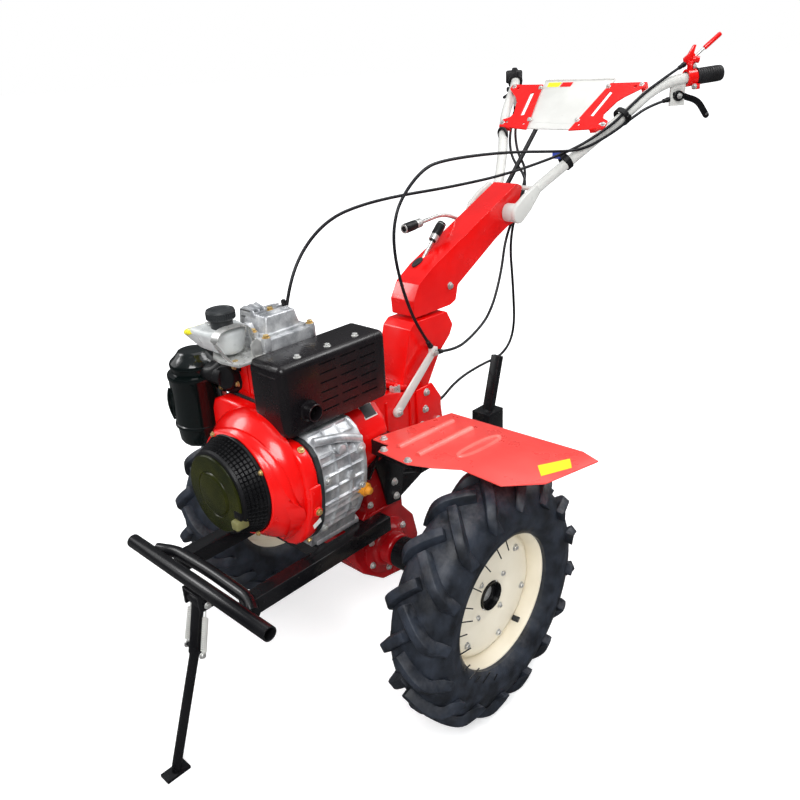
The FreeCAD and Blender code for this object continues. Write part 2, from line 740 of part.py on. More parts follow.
def grips():
    """Rubber sleeves on the tube ends and the clamp collars in front of them."""
    end, along = handle_end()
    sleeve = Part.makeCylinder(dim("grip_radius"), 60, end - along * 56, along)
    shape_node("grips", cut_round(both_sides(sleeve), "handle_tubes"))
    collar = Part.makeCylinder(18, 22, end - along * 79, along)
    lug = box_at((-6, -9, 0), (6, 9, 32))
    lug.Placement = Placement(end - along * 68, Rotation())
    shape_node("lever_clamps", cut_round(both_sides(collar.fuse(lug)), "handle_tubes", "grips"))


def hand_levers():
    """A bent lever under each grip, turning on the tab, and the upright throttle lever."""
    heading = Vector(0.577, 0.817, 0)
    pivot = Vector(213, 815, 1030)
    blade_route = [pivot + heading * reach + Vector(0, 0, drop)
                   for reach, drop in ((-14, 6), (18, -8), (46, -16), (76, -44))]
    blade = tube(rounded_path([tuple(point) for point in blade_route]), 5.0)
    boss = Part.makeCylinder(11, 20, pivot - Vector(8.2, -5.8, 0), Vector(0.817, -0.577, 0))
    shape_node("hand_levers", cut_round(both_sides(blade.fuse(boss)), "handle_tubes", "lever_clamps"))
    end, along = handle_end()
    foot = end - along * 68 + Vector(0, 0, 32)
    paddle = Part.makeBox(16, 6, 34, Vector(-8, -3, 0))
    paddle.Placement = Placement(foot, Rotation(Vector(0, 0, 1), -35.0))
    stem = rod(tuple(foot), (268, 882, 1150), 4.5)
    shape_node("throttle_lever", cut_round(paddle.fuse(stem), "lever_clamps"))


def on_panel(points, low, high):
    """A plate between two levels over the panel's plane, from (x, y) corners seen from above."""
    slope = math.radians(panel_slope)
    normal = Vector(0, -math.sin(slope), math.cos(slope))
    corners = []
    for x, y in points + points[:1]:
        reach = y - panel_low_edge.y
        corners.append(Vector(x, y, panel_low_edge.z + reach * math.tan(slope)) + normal * low)
    return Part.Face(Part.makePolygon(corners)).extrude(normal * (high - low))


def control_panel():
    """Pale trapezoid plate between the tubes, its two side plates and the stay under it."""
    plate = on_panel(((-62, 641), (62, 641), (92, 765), (-92, 765)), -4.0, 0.0)
    shape_node("control_panel", plate)
    side = on_panel(((55, 636), (104, 640), (136, 644), (136, 660), (118, 668), (133, 711), (174, 740),
                     (174, 752), (88, 751)), 0.0, 3.0)
    slot = on_panel(((84, 676), (92, 674), (104, 734), (96, 736)), -1.0, 4.0)
    posts = [on_panel(((x - 5, y - 5), (x + 5, y - 5), (x + 5, y + 5), (x - 5, y + 5)), -18.0, 0.0)
             for x, y in ((131, 651), (169, 746))]
    left = side.cut(slot).multiFuse(posts)
    shape_node("panel_brackets", cut_round(both_sides(left), "handle_tubes"))
    stay = rod((-30, 524, 864), (-38, 650, 973), 4.0)
    shape_node("panel_stay", cut_round(stay, "handle_tubes", "control_panel"))


handle_tubes()
grips()
hand_levers()
control_panel()


# ---------------------------------------------------------------- cables
def cable(route, split_run=None):
    """A cable's two lengths, parted in the middle of a straight run so that each has one joint."""
    points = [Vector(*point) for point in route]
    before, after = points[split_run], points[split_run + 1]
    middle = (before + after) * 0.5
    step = after - before
    step.normalize()
    upper = points[:split_run + 1] + [middle - step * 0.2]
    lower = [middle + step * 0.2] + points[split_run + 1:]
    return [tube(rounded_path([tuple(point) for point in part]), dim("cable_radius"))
            for part in (upper, lower)]


def cables():
    """Control cables from the levers, over or under the arm, down to the case and the engine."""
    main_clutch = ((203, 801, 1024), (186, 748, 1016), (172, 688, 992), (150, 652, 966), (114, 602, 938),
                   (82, 556, 938), (60, 395, 955), (60, 196, 963),
                   (60, 140, 950), (60, 85, 909), (60, 66, 869), (60, 63, 826), (60, 74, 769),
                   (60, 97, 706), (56, 125, 660), (54, 160, 612))
    throttle = ((222, 824, 1094), (186, 746, 1053), (165, 688, 1013), (152, 652, 985), (118, 602, 952),
                (74, 572, 928), (45, 417, 907),
                (20, 270, 902), (-10, 155, 901), (-30, 74, 895), (-40, 8, 882), (-40, -55, 847),
                (-40, -98, 792), (-40, -112, 744))
    rear_clutch = ((-188, 800, 1022), (-134, 684, 980), (-78, 604, 916), (-4, 566, 880), (0, 542, 836),
                   (8, 470, 770), (11, 450, 690), (18, 401, 612), (26, 330, 584), (40, 250, 576),
                   (54, 178, 598))
    gear_stop = ((-176, 800, 1022), (-122, 684, 984), (-66, 614, 926), (-14, 580, 894), (-12, 556, 840),
                 (-8, 506, 756), (-12, 528, 640), (-22, 550, 520), (-32, 516, 468), (-34, 430, 470),
                 (-34, 338, 460), (-34, 270, 424), (-30, 188, 440))
    routes = ((main_clutch, 6), (throttle, 6), (rear_clutch, 4), (gear_stop, 4))
    parted = [cable(route, split_run) for route, split_run in routes]
    upper = Part.makeCompound([pair[0] for pair in parted])
    lower = Part.makeCompound([pair[1] for pair in parted])
    shape_node("cables_upper", cut_round(upper, "lever_clamps", "handle_tubes"))
    shape_node("cables_lower", cut_round(lower, "clutch_arm", "gearbox_upper", "cylinder_head"))
    rings = []
    for centre, along, radius in (((154, 686, 1000), (36, 97, 65), 21), ((84, 584, 918), (53, 90, 70), 20),
                                  ((-127, 645, 958), (-53, 76, 63), 17)):
        direction = Vector(*along)
        direction.normalize()
        rings.append(Part.makeCylinder(radius, 14, Vector(*centre) - direction * 7, direction))
    shape_node("cable_clips", cut_round(Part.makeCompound(rings), "handle_tubes", "cables_upper",
                                         "panel_brackets"))


cables()

# ---------------------------------------------------------------- checks and export
doc.recompute()
for node, obj in nodes:
    broken = [state for state in obj.State if state in ("Invalid", "Error")]
    if broken or obj.Shape.isNull() or not obj.Shape.isValid():
        raise RuntimeError("%s is not a sound shape: %s" % (node, obj.State))
os.makedirs("parts", exist_ok=True)
for node, obj in nodes:
    obj.Shape.exportStep("parts/%s.step" % node)
    extent = obj.Shape.BoundBox
    print("%-20s %8.0f cm3  x %6.0f %6.0f  y %6.0f %6.0f  z %6.0f %6.0f" % (
        node, obj.Shape.Volume / 1000, extent.XMin, extent.XMax, extent.YMin, extent.YMax,
        extent.ZMin, extent.ZMax))
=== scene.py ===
import math
import bpy
from mathutils import Matrix, Vector


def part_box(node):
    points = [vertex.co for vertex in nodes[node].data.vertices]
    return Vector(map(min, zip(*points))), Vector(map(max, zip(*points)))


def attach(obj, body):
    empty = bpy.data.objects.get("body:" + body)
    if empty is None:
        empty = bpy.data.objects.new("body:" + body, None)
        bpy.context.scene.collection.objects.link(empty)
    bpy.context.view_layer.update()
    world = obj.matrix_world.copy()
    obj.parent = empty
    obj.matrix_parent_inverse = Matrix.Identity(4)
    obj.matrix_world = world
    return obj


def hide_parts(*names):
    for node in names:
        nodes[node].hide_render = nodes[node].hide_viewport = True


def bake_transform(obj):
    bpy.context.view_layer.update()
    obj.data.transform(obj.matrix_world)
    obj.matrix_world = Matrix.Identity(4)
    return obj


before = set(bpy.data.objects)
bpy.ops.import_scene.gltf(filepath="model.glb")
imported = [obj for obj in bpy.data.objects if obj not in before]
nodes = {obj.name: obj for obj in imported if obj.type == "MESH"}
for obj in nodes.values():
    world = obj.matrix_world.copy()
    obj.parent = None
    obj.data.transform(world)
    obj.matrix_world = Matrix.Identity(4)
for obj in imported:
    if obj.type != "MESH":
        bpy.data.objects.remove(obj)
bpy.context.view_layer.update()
print("frame loaded:", len(nodes), "nodes")

# these drawings take y = 0 at the wheel axle; the row's origin lies further forward
axle = [Vector(corner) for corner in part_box("axle_shaft")]
axleSetback, axleHeight = (axle[0].y + axle[1].y) / 2, (axle[0].z + axle[1].z) / 2
axleLevel = axleHeight * 1000


def at(x, y, z):
    # a place on the machine in mm: left of the middle, behind the axle, over the floor
    return Vector((x / 1000, y / 1000 + axleSetback, z / 1000))


# camera, lights and floor
view = {"place": (1.01833, -1.12154, 1.13927), "turn": 44.13, "down": 23.63, "roll": -3.16, "lens": 35.32}


def makeCamera():
    data = bpy.data.cameras.new("camera")
    data.lens = view["lens"]
    data.sensor_width = 36
    camera = bpy.data.objects.new("camera", data)
    bpy.context.scene.collection.objects.link(camera)
    turn = Matrix.Rotation(math.radians(view["turn"]), 3, "Z")
    tip = Matrix.Rotation(math.radians(90 - view["down"]), 3, "X")
    roll = Matrix.Rotation(math.radians(view["roll"]), 3, "Z")
    camera.location = view["place"]
    camera.rotation_euler = (turn @ tip @ roll).to_euler()
    bpy.context.scene.camera = camera


lamps = (
    {"name": "keyLamp", "place": (1.9, -2.4, 3.0), "size": 1.7, "power": 104},
    {"name": "fillLamp", "place": (-2.6, -1.6, 2.2), "size": 2.6, "power": 26},
    {"name": "topLamp", "place": (0.2, 0.6, 3.4), "size": 2.6, "power": 26},
    {"name": "glintLamp", "place": (-1.85, -1.35, 2.15), "size": 0.8, "power": 15},
    {"name": "edgeLamp", "place": (0.95, 1.3, 2.55), "size": 0.9, "power": 20},
    {"name": "rearLamp", "place": (0.6, 3.2, 1.9), "size": 2.4, "power": 22},
)
lampTarget = Vector((0, 0, 0.45))


def makeLamps():
    for lamp in lamps:
        data = bpy.data.lights.new(lamp["name"], "AREA")
        data.size = lamp["size"]
        data.energy = lamp["power"]
        light = bpy.data.objects.new(lamp["name"], data)
        light.location = lamp["place"]
        light.rotation_euler = (lampTarget - light.location).to_track_quat("-Z", "Y").to_euler()
        bpy.context.scene.collection.objects.link(light)


def wired(tree, kind, inputs=None, **settings):
    # a new shader node; each input gets a value or another node's socket
    node = tree.nodes.new("ShaderNode" + kind)
    for key, value in settings.items():
        setattr(node, key, value)
    for key, value in (inputs or {}).items():
        if isinstance(value, bpy.types.NodeSocket):
            tree.links.new(value, node.inputs[key])
        else:
            node.inputs[key].default_value = value
    return node.outputs


# reflections see a dark room under a pale ceiling, so that black stays black and upper faces shine
roomLight = {"diffuse": 0.42, "low": 0.09, "high": 0.42, "ceiling": (0.25, 0.95),
    "colour": (0.93, 0.96, 1.0, 1)}


def makeRoom():
    world = bpy.data.worlds.new("studio")
    bpy.context.scene.world = world
    world.use_nodes = True
    tree = world.node_tree
    tree.nodes.clear()
    rays = wired(tree, "LightPath")
    heights = wired(tree, "SeparateXYZ", {0: wired(tree, "TexCoord")["Generated"]})
    start, end = roomLight["ceiling"]
    ceiling = wired(tree, "MapRange", {0: heights[2], 1: start, 2: end, 3: roomLight["low"],
        4: roomLight["high"]})
    dim = wired(tree, "MapRange", {0: rays["Is Glossy Ray"], 3: roomLight["diffuse"], 4: ceiling[0]})
    room = wired(tree, "Background", {"Color": roomLight["colour"], "Strength": dim[0]})
    back = wired(tree, "Background", {"Color": (1, 1, 1, 1)})
    seen = wired(tree, "Math", {0: rays["Is Camera Ray"], 1: rays["Is Transmission Ray"]}, operation="MAXIMUM")
    wired(tree, "OutputWorld", {0: wired(tree, "MixShader", {0: seen[0], 1: room[0], 2: back[0]})[0]})


# the floor glows a little for the camera, more with distance, so that it fades into the backdrop
ground = {"radius": 60, "drop": 0.0006, "fade": (0.7, 3.2), "glow": (0.42, 1.0), "pale": (0.86, 0.86, 0.86, 1),
    "mirrored": (0.10, 0.10, 0.10, 1)}


def makeFloor():
    bpy.ops.mesh.primitive_circle_add(vertices=96, radius=ground["radius"], fill_type="NGON",
        location=(0, 0, -ground["drop"]))
    floor = bpy.context.object
    floor.name = "floor"
    material = bpy.data.materials.new("paleFloor")
    material.use_nodes = True
    tree = material.node_tree
    tree.nodes.clear()
    rays = wired(tree, "LightPath")
    away = wired(tree, "VectorMath", {0: wired(tree, "TexCoord")["Object"]}, operation="LENGTH")
    (near, far), (low, high) = ground["fade"], ground["glow"]
    fade = wired(tree, "MapRange", {0: away["Value"], 1: near, 2: far, 3: low, 4: high})
    lift = wired(tree, "Math", {0: rays["Is Camera Ray"], 1: fade[0]}, operation="MULTIPLY")
    shade = wired(tree, "Mix", {0: rays["Is Glossy Ray"], 6: ground["pale"], 7: ground["mirrored"]},
        data_type="RGBA")
    matt = wired(tree, "BsdfDiffuse", {"Color": shade[2]})
    glow = wired(tree, "Emission", {"Strength": lift[0]})
    wired(tree, "OutputMaterial", {0: wired(tree, "AddShader", {0: matt[0], 1: glow[0]})[0]})
    floor.data.materials.append(material)


makeCamera()
makeLamps()
makeRoom()
makeFloor()
bpy.context.scene.view_settings.view_transform = "Standard"
print("camera, lamps and floor")


# materials: every one reads Object coordinates, in metres
class Finish:  # wires the nodes of one material
    def __init__(self, name, rough, metal=0.0, coat=0.0, specular=0.5):
        self.material = bpy.data.materials.new(name)
        self.material.use_nodes = True
        self.tree = self.material.node_tree
        self.shader = self.tree.nodes["Principled BSDF"]
        for key, value in (("Roughness", rough), ("Metallic", metal), ("Coat Weight", coat),
                ("Coat Roughness", 0.08), ("Specular IOR Level", specular)):
            self.shader.inputs[key].default_value = value
        self.place = self.add("TexCoord")["Object"]

    def add(self, kind, inputs=None, **settings):
        return wired(self.tree, kind, inputs, **settings)

    def feed(self, key, source):
        self.tree.links.new(source, self.shader.inputs[key])

    def noise(self, scale, detail=3.0, rough=0.55):
        return self.add("TexNoise", {"Vector": self.place, "Scale": scale, "Detail": detail,
            "Roughness": rough})["Fac"]

    def between(self, source, low, high, outLow=0.0, outHigh=1.0):
        return self.add("MapRange", {0: source, 1: low, 2: high, 3: outLow, 4: outHigh})[0]

    def multiply(self, first, second):
        return self.add("Math", {0: first, 1: second}, operation="MULTIPLY")[0]

    def tint(self, amount, first, second):
        # two colours or sockets mixed by a third
        first, second = [(*value, 1) if isinstance(value, tuple) else value for value in (first, second)]
        return self.add("Mix", {"Factor": amount, 6: first, 7: second}, data_type="RGBA")[2]

    def bump(self, source, depth, previous=None):
        inputs = {"Strength": 1.0, "Distance": depth, "Height": source}
        if previous:
            inputs["Normal"] = previous
        raised = self.add("Bump", inputs)[0]
        self.feed("Normal", raised)
        return raised


def upward(finish):
    # 1 on faces that look up, where dust settles
    parts = finish.add("SeparateXYZ", {0: finish.add("NewGeometry")["Normal"]})
    return finish.between(parts["Z"], 0.2, 1.0)


def paint(name, light, deep, rough=0.28, coat=0.12, specular=0.4, peel=0.00006, chips=0.0,
        chipColour=(0.16, 0.13, 0.11)):
    # sprayed paint: cloudy colour, orange peel, dull patches and a few chips
    finish = Finish(name, rough, coat=coat, specular=specular)
    cloud = finish.between(finish.noise(9.0, 4.0), 0.35, 0.68)
    tone = finish.tint(cloud, deep, light)
    if chips:
        specks = finish.between(finish.noise(150.0, 5.0, 0.7), 0.74 - chips, 0.76 - chips)
        patches = finish.between(finish.noise(7.0, 2.0), 0.52, 0.6)
        tone = finish.tint(finish.multiply(specks, patches), tone, chipColour)
    finish.feed("Base Color", tone)
    finish.feed("Roughness", finish.between(finish.noise(26.0, 4.0), 0.3, 0.75, rough * 0.75, rough * 1.5))
    finish.bump(finish.noise(420.0, 2.0), peel)
    return finish.material


def castMetal(name, light, deep, rough=0.5, metal=0.75, grain=0.0005):
    # sand-cast alloy: grainy skin and darker hollows
    finish = Finish(name, rough, metal=metal)
    cloud = finish.between(finish.noise(32.0, 6.0, 0.65), 0.35, 0.65)
    finish.feed("Base Color", finish.tint(cloud, deep, light))
    finish.feed("Roughness", finish.between(finish.noise(70.0, 4.0), 0.3, 0.7, rough * 0.8, rough * 1.25))
    grainy = finish.bump(finish.noise(650.0, 3.0), grain * 0.35)
    finish.bump(finish.noise(160.0, 5.0), grain, grainy)
    return finish.material


def moulded(name, light, deep, rough=0.55, grain=0.0002, specular=0.45, dust=None):
    # moulded plastic or rubber with a fine skin and a little dust on what looks up
    finish = Finish(name, rough, specular=specular)
    tone = finish.tint(finish.between(finish.noise(30.0, 5.0), 0.35, 0.65), deep, light)
    if dust:
        settled = finish.multiply(upward(finish), finish.between(finish.noise(55.0, 5.0, 0.7), 0.42, 0.7, 0.0,
            0.7))
        tone = finish.tint(settled, tone, dust)
    finish.feed("Base Color", tone)
    finish.feed("Roughness", finish.between(finish.noise(48.0, 3.0), 0.3, 0.7, rough * 0.85, rough * 1.2))
    finish.bump(finish.noise(900.0, 2.0), grain)
    return finish.material


def platedSteel(name, light, deep, rough=0.32):
    finish = Finish(name, rough, metal=0.7)
    finish.feed("Base Color", finish.tint(finish.between(finish.noise(60.0, 5.0), 0.35, 0.7), deep, light))
    finish.feed("Roughness", finish.between(finish.noise(120.0, 4.0), 0.3, 0.7, rough * 0.7, rough * 1.5))
    finish.bump(finish.noise(500.0, 2.0), 0.00008)
    return finish.material


red = paint("redPaint", (0.84, 0.004, 0.003), (0.70, 0.002, 0.002), rough=0.2, coat=0.3)
brightRed = paint("sheetRed", (0.92, 0.092, 0.078), (0.86, 0.070, 0.060), rough=0.3)
# a lighter red for the fender's ribs and oval: a painted highlight on their crests
ribHighlightRed = paint("ribHighlightRed", (0.94, 0.24, 0.20), (0.90, 0.13, 0.11), rough=0.3)
deepRed = paint("deepRed", (0.40, 0.003, 0.006), (0.25, 0.002, 0.004), rough=0.22, coat=0.3, chips=0.03)
blackPaint = paint("blackPaint", (0.009, 0.009, 0.010), (0.004, 0.004, 0.005), rough=0.22, specular=0.3,
    chips=0.05, chipColour=(0.20, 0.17, 0.14))
mufflerBlack = paint("mufflerBlack", (0.010, 0.008, 0.009), (0.005, 0.004, 0.005), rough=0.25, coat=0.06,
    specular=0.36, peel=0.00012)
enamel = paint("blackEnamel", (0.004, 0.007, 0.007), (0.002, 0.004, 0.004), rough=0.13, coat=0.2)
blackPlastic = moulded("blackPlastic", (0.010, 0.010, 0.011), (0.005, 0.005, 0.006), rough=0.36, specular=0.3)
olivePlastic = moulded("olivePlastic", (0.22, 0.21, 0.07), (0.15, 0.14, 0.05))
gripRubber = moulded("gripRubber", (0.016, 0.016, 0.018), (0.009, 0.009, 0.010), rough=0.55, grain=0.0003,
    specular=0.3)
sheath = moulded("cableSheath", (0.012, 0.013, 0.016), (0.007, 0.007, 0.009), rough=0.34, specular=0.3)
aluminium = castMetal("castAluminium", (0.80, 0.81, 0.82), (0.32, 0.33, 0.35), rough=0.4, metal=0.6)
steel = platedSteel("zincSteel", (0.82, 0.82, 0.80), (0.56, 0.56, 0.54))
brass = platedSteel("brass", (0.78, 0.56, 0.24), (0.52, 0.36, 0.14))
silver = paint("silverPaint", (0.68, 0.68, 0.65), (0.58, 0.58, 0.55), rough=0.34, chips=0.02,
    chipColour=(0.30, 0.28, 0.25))
yellow = paint("yellowPatch", (0.92, 0.84, 0.02), (0.86, 0.78, 0.02), rough=0.35)
blue = moulded("blueTag", (0.03, 0.07, 0.42), (0.02, 0.05, 0.32), rough=0.4)
cream = paint("creamPaint", (0.86, 0.80, 0.66), (0.80, 0.73, 0.58), rough=0.38, chips=0.02,
    chipColour=(0.34, 0.22, 0.12))
darkGrey = moulded("darkGrey", (0.030, 0.033, 0.035), (0.018, 0.020, 0.022), rough=0.45, specular=0.35)
discPaint = paint("discPaint", (0.034, 0.036, 0.004), (0.004, 0.007, 0.003), rough=0.2, coat=0.04, specular=0.2)
amber = moulded("amber", (0.80, 0.33, 0.02), (0.62, 0.22, 0.02), rough=0.3)
tankWhite = moulded("tankPlastic", (0.66, 0.68, 0.67), (0.50, 0.52, 0.52), rough=0.3)
panelPale = paint("panelPaint", (0.72, 0.72, 0.69), (0.60, 0.60, 0.57), rough=0.35)
tyreRubber = moulded("tyreRubber", (0.026, 0.033, 0.048), (0.008, 0.010, 0.014), rough=0.46, grain=0.0004,
    specular=0.4, dust=(0.09, 0.09, 0.10))

print("materials")


# modelling moves shared by the pieces; places and sizes are in mm
def selectOnly(piece):
    if bpy.context.object and bpy.context.object.mode != "OBJECT":
        bpy.ops.object.mode_set(mode="OBJECT")
    bpy.ops.object.select_all(action="DESELECT")
    piece.select_set(True)
    bpy.context.view_layer.objects.active = piece


def settle(name):
    # the new primitive's place, turn and size go into its mesh
    piece = bpy.context.object
    piece.name = name
    selectOnly(piece)
    bpy.ops.object.transform_apply(location=True, rotation=True, scale=True)
    return piece


def editAll(piece, action="SELECT"):
    selectOnly(piece)
    bpy.ops.object.mode_set(mode="EDIT")
    bpy.ops.mesh.select_mode(type="VERT")
    bpy.ops.mesh.select_all(action=action)


def leaveEdit():
    bpy.ops.object.mode_set(mode="OBJECT")


def pick(piece, test):
    # edit mode with only the faces chosen by their middle and direction
    editAll(piece, "DESELECT")
    bpy.ops.mesh.select_mode(type="FACE")
    leaveEdit()
    for face in piece.data.polygons:
        face.select = test(face.center, face.normal)
    bpy.ops.object.mode_set(mode="EDIT")


def cleanUp(piece, gap=0.00002):
    editAll(piece)
    bpy.ops.mesh.remove_doubles(threshold=gap)
    bpy.ops.mesh.normals_make_consistent(inside=False)
    leaveEdit()
    return piece


def roundEdges(piece, width, segments=2, angle=32):
    bevel = piece.modifiers.new("round", "BEVEL")
    bevel.width = width / 1000
    bevel.segments = segments
    bevel.limit_method = "ANGLE"
    bevel.angle_limit = math.radians(angle)
    selectOnly(piece)
    bpy.ops.object.modifier_apply(modifier="round")
    return piece


def smooth(piece, angle=34):
    selectOnly(piece)
    bpy.ops.object.shade_smooth_by_angle(angle=math.radians(angle))
    return piece


def block(name, low, high, width=0.0, segments=2):
    low, high = at(*low), at(*high)
    bpy.ops.mesh.primitive_cube_add(size=1, location=(low + high) / 2, scale=high - low)
    piece = settle(name)
    return roundEdges(piece, width, segments) if width else piece


def bar(name, start, end, radius, width=0.0, count=24):
    start, end = at(*start), at(*end)
    along = end - start
    bpy.ops.mesh.primitive_cylinder_add(vertices=count, radius=radius / 1000, depth=along.length,
        location=(start + end) / 2, rotation=along.to_track_quat("Z", "Y").to_euler())
    piece = settle(name)
    return roundEdges(piece, width) if width else piece


def turned(name, start, along, steps, count=48):
    # a circle drawn out step by step along an axis: (radius, distance)
    along = Vector(along).normalized()
    start = at(*start)
    radius, reach = steps[0]
    bpy.ops.mesh.primitive_circle_add(vertices=count, radius=radius / 1000, location=start
        + along * reach / 1000, rotation=along.to_track_quat("Z", "Y").to_euler())
    piece = settle(name)
    editAll(piece)
    for before, after in zip(steps, steps[1:]):
        step = along * (after[1] - before[1]) / 1000
        bpy.ops.mesh.extrude_region_move(TRANSFORM_OT_translate={"value": step})
        bpy.ops.transform.resize(value=(after[0] / before[0],) * 3, center_override=start
            + along * after[1] / 1000)
    leaveEdit()
    return cleanUp(piece)


def plate(name, corners, depth, width=0.0, segments=2):
    # one corner drawn round an outline, filled, and drawn out by its depth
    corners = [at(*corner) for corner in corners]
    bpy.ops.mesh.primitive_plane_add(size=0.01, location=corners[0])
    piece = settle(name)
    editAll(piece)
    bpy.ops.mesh.merge(type="CENTER")
    for here, there in zip(corners, corners[1:]):
        bpy.ops.mesh.extrude_vertices_move(TRANSFORM_OT_translate={"value": there - here})
    bpy.ops.mesh.select_all(action="SELECT")
    bpy.ops.mesh.edge_face_add()
    bpy.ops.mesh.extrude_region_move(TRANSFORM_OT_translate={"value": Vector(depth) / 1000})
    leaveEdit()
    cleanUp(piece)
    return roundEdges(piece, width, segments) if width else piece


def curveAlong(name, route, steps, straight=False):
    data = bpy.data.curves.new(name, "CURVE")
    data.dimensions = "3D"
    data.resolution_u = steps
    spline = data.splines.new("POLY" if straight else "NURBS")
    spline.points.add(len(route) - 1)
    for point, place in zip(spline.points, route):
        point.co = (*at(*place), 1)
    spline.order_u = 3
    spline.use_endpoint_u = True
    carrier = bpy.data.objects.new(name, data)
    bpy.context.scene.collection.objects.link(carrier)
    return carrier


def drawn(name, route, section=None, radius=3.0, sides=5, steps=6, straight=False):
    # a round or a given section led along a line; the section stays upright
    piece = curveAlong(name, route, steps, straight)
    data = piece.data
    data.use_fill_caps = True
    guide = None
    if section:
        data.twist_mode = "Z_UP"
        outline = bpy.data.curves.new("section", "CURVE")
        outline.dimensions = "2D"
        ring = outline.splines.new("POLY")
        ring.points.add(len(section) - 1)
        for point, (across, up) in zip(ring.points, section):
            point.co = (across / 1000, up / 1000, 0, 1)
        ring.use_cyclic_u = True
        guide = bpy.data.objects.new("section", outline)
        bpy.context.scene.collection.objects.link(guide)
        data.bevel_mode = "OBJECT"
        data.bevel_object = guide
    else:
        data.bevel_depth = radius / 1000
        data.bevel_resolution = sides
    selectOnly(piece)
    bpy.ops.object.convert(target="MESH")
    if guide:
        bpy.data.objects.remove(guide)
    return cleanUp(bpy.context.object)


def copyOf(piece, name, move=None):
    twin = piece.copy()
    twin.data = piece.data.copy()
    twin.name = name
    bpy.context.scene.collection.objects.link(twin)
    if move is not None:
        twin.data.transform(move)
    return twin


def mirrorOf(piece, name):
    twin = copyOf(piece, name, Matrix.Scale(-1, 4, (1, 0, 0)))
    editAll(twin)
    bpy.ops.mesh.flip_normals()
    leaveEdit()
    return twin


def joined(name, pieces):
    selectOnly(pieces[0])
    for piece in pieces[1:]:
        piece.select_set(True)
    bpy.ops.object.join()
    whole = bpy.context.object
    whole.name = name
    return whole


def softened(node, width, segments=2, angle=32):
    # a node's own shape with its corners eased
    piece = copyOf(nodes[node], node + "Eased")
    piece.parent = None
    piece.matrix_world = Matrix.Identity(4)
    for key in list(piece.keys()):
        del piece[key]
    cleanUp(piece, 0.00001)
    editAll(piece)
    bpy.ops.mesh.dissolve_limited(angle_limit=math.radians(1))
    leaveEdit()
    return smooth(roundEdges(piece, width, segments, angle))


def fit(piece, material, body, *replaced, slot=None):
    # the last step of every piece: its finish, the body that it rides on and the nodes that it stands for
    piece.data.materials.clear()
    piece.data.materials.append(material)
    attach(piece, body)
    if replaced:
        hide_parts(*replaced)
    return piece


def fitPair(piece, material, body, *replaced, slot=None, right=None):
    # a left-hand piece and its mirror image; {} in a node's name stands for the hand
    other = mirrorOf(piece, piece.name.replace("Left", "Right"))
    for item, hand, finish in ((piece, "left", material), (other, "right", right or material)):
        fit(item, finish, body, *[node.format(hand) for node in replaced], slot=slot)


def fitWhole(name, pieces, material, body, *replaced, slot=None):
    return fit(smooth(joined(name, pieces)), material, body, *replaced, slot=slot)


def near(place, *offsets):
    # places given by their distances from another one
    return [tuple(start + step for start, step in zip(place, offset)) for offset in offsets]


def facing(direction, *places):
    # bolt places that all look one way
    return [(place, direction) for place in places]


def onWheel(turn, radius):
    # y and z of a place on a circle round the axle
    return radius * math.cos(turn), axleLevel + radius * math.sin(turn)


bolt = {"across": 5.5, "height": 4.2, "washer": 7.6, "thick": 1.2, "rim": 0.9, "dish": 0.6, "round": 0.35}


def bolts(name, places, scale=1.0):
    # hexagon heads on washers; each place is a point and the way that the head looks
    across, height, washer, thick = [bolt[key] / 1000 for key in ("across", "height", "washer", "thick")]
    bpy.ops.mesh.primitive_cylinder_add(vertices=18, radius=washer, depth=thick, location=(0, 0, 0.0005))
    washer = settle("washer")
    bpy.ops.mesh.primitive_cylinder_add(vertices=6, radius=across, depth=height,
        location=(0, 0, 0.001 + height / 2))
    head = settle("head")
    pick(head, lambda middle, normal: normal.z > 0.9)
    bpy.ops.mesh.inset(thickness=bolt["rim"] / 1000, depth=bolt["dish"] / 1000)
    leaveEdit()
    model = roundEdges(joined("model", [washer, head]), bolt["round"], 1)
    copies = []
    for index, (place, facing) in enumerate(places):
        turn = Vector(facing).to_track_quat("Z", "Y").to_matrix().to_4x4()
        move = Matrix.Translation(at(*place)) @ turn @ Matrix.Scale(scale, 4)
        copies.append(copyOf(model, "%s%d" % (name, index), move))
    bpy.data.objects.remove(model)
    return smooth(joined(name, copies))


# wheels
wheel = {"lugs": 16, "lugTop": 8.0, "lugFoot": 12.0, "lugHigh": 16.0, "carcassDrop": 17.0, "bead": 129.0}


def span(node, axis):
    # a node's two limits along an axis, in mm
    low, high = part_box(node)
    return low[axis] * 1000, high[axis] * 1000


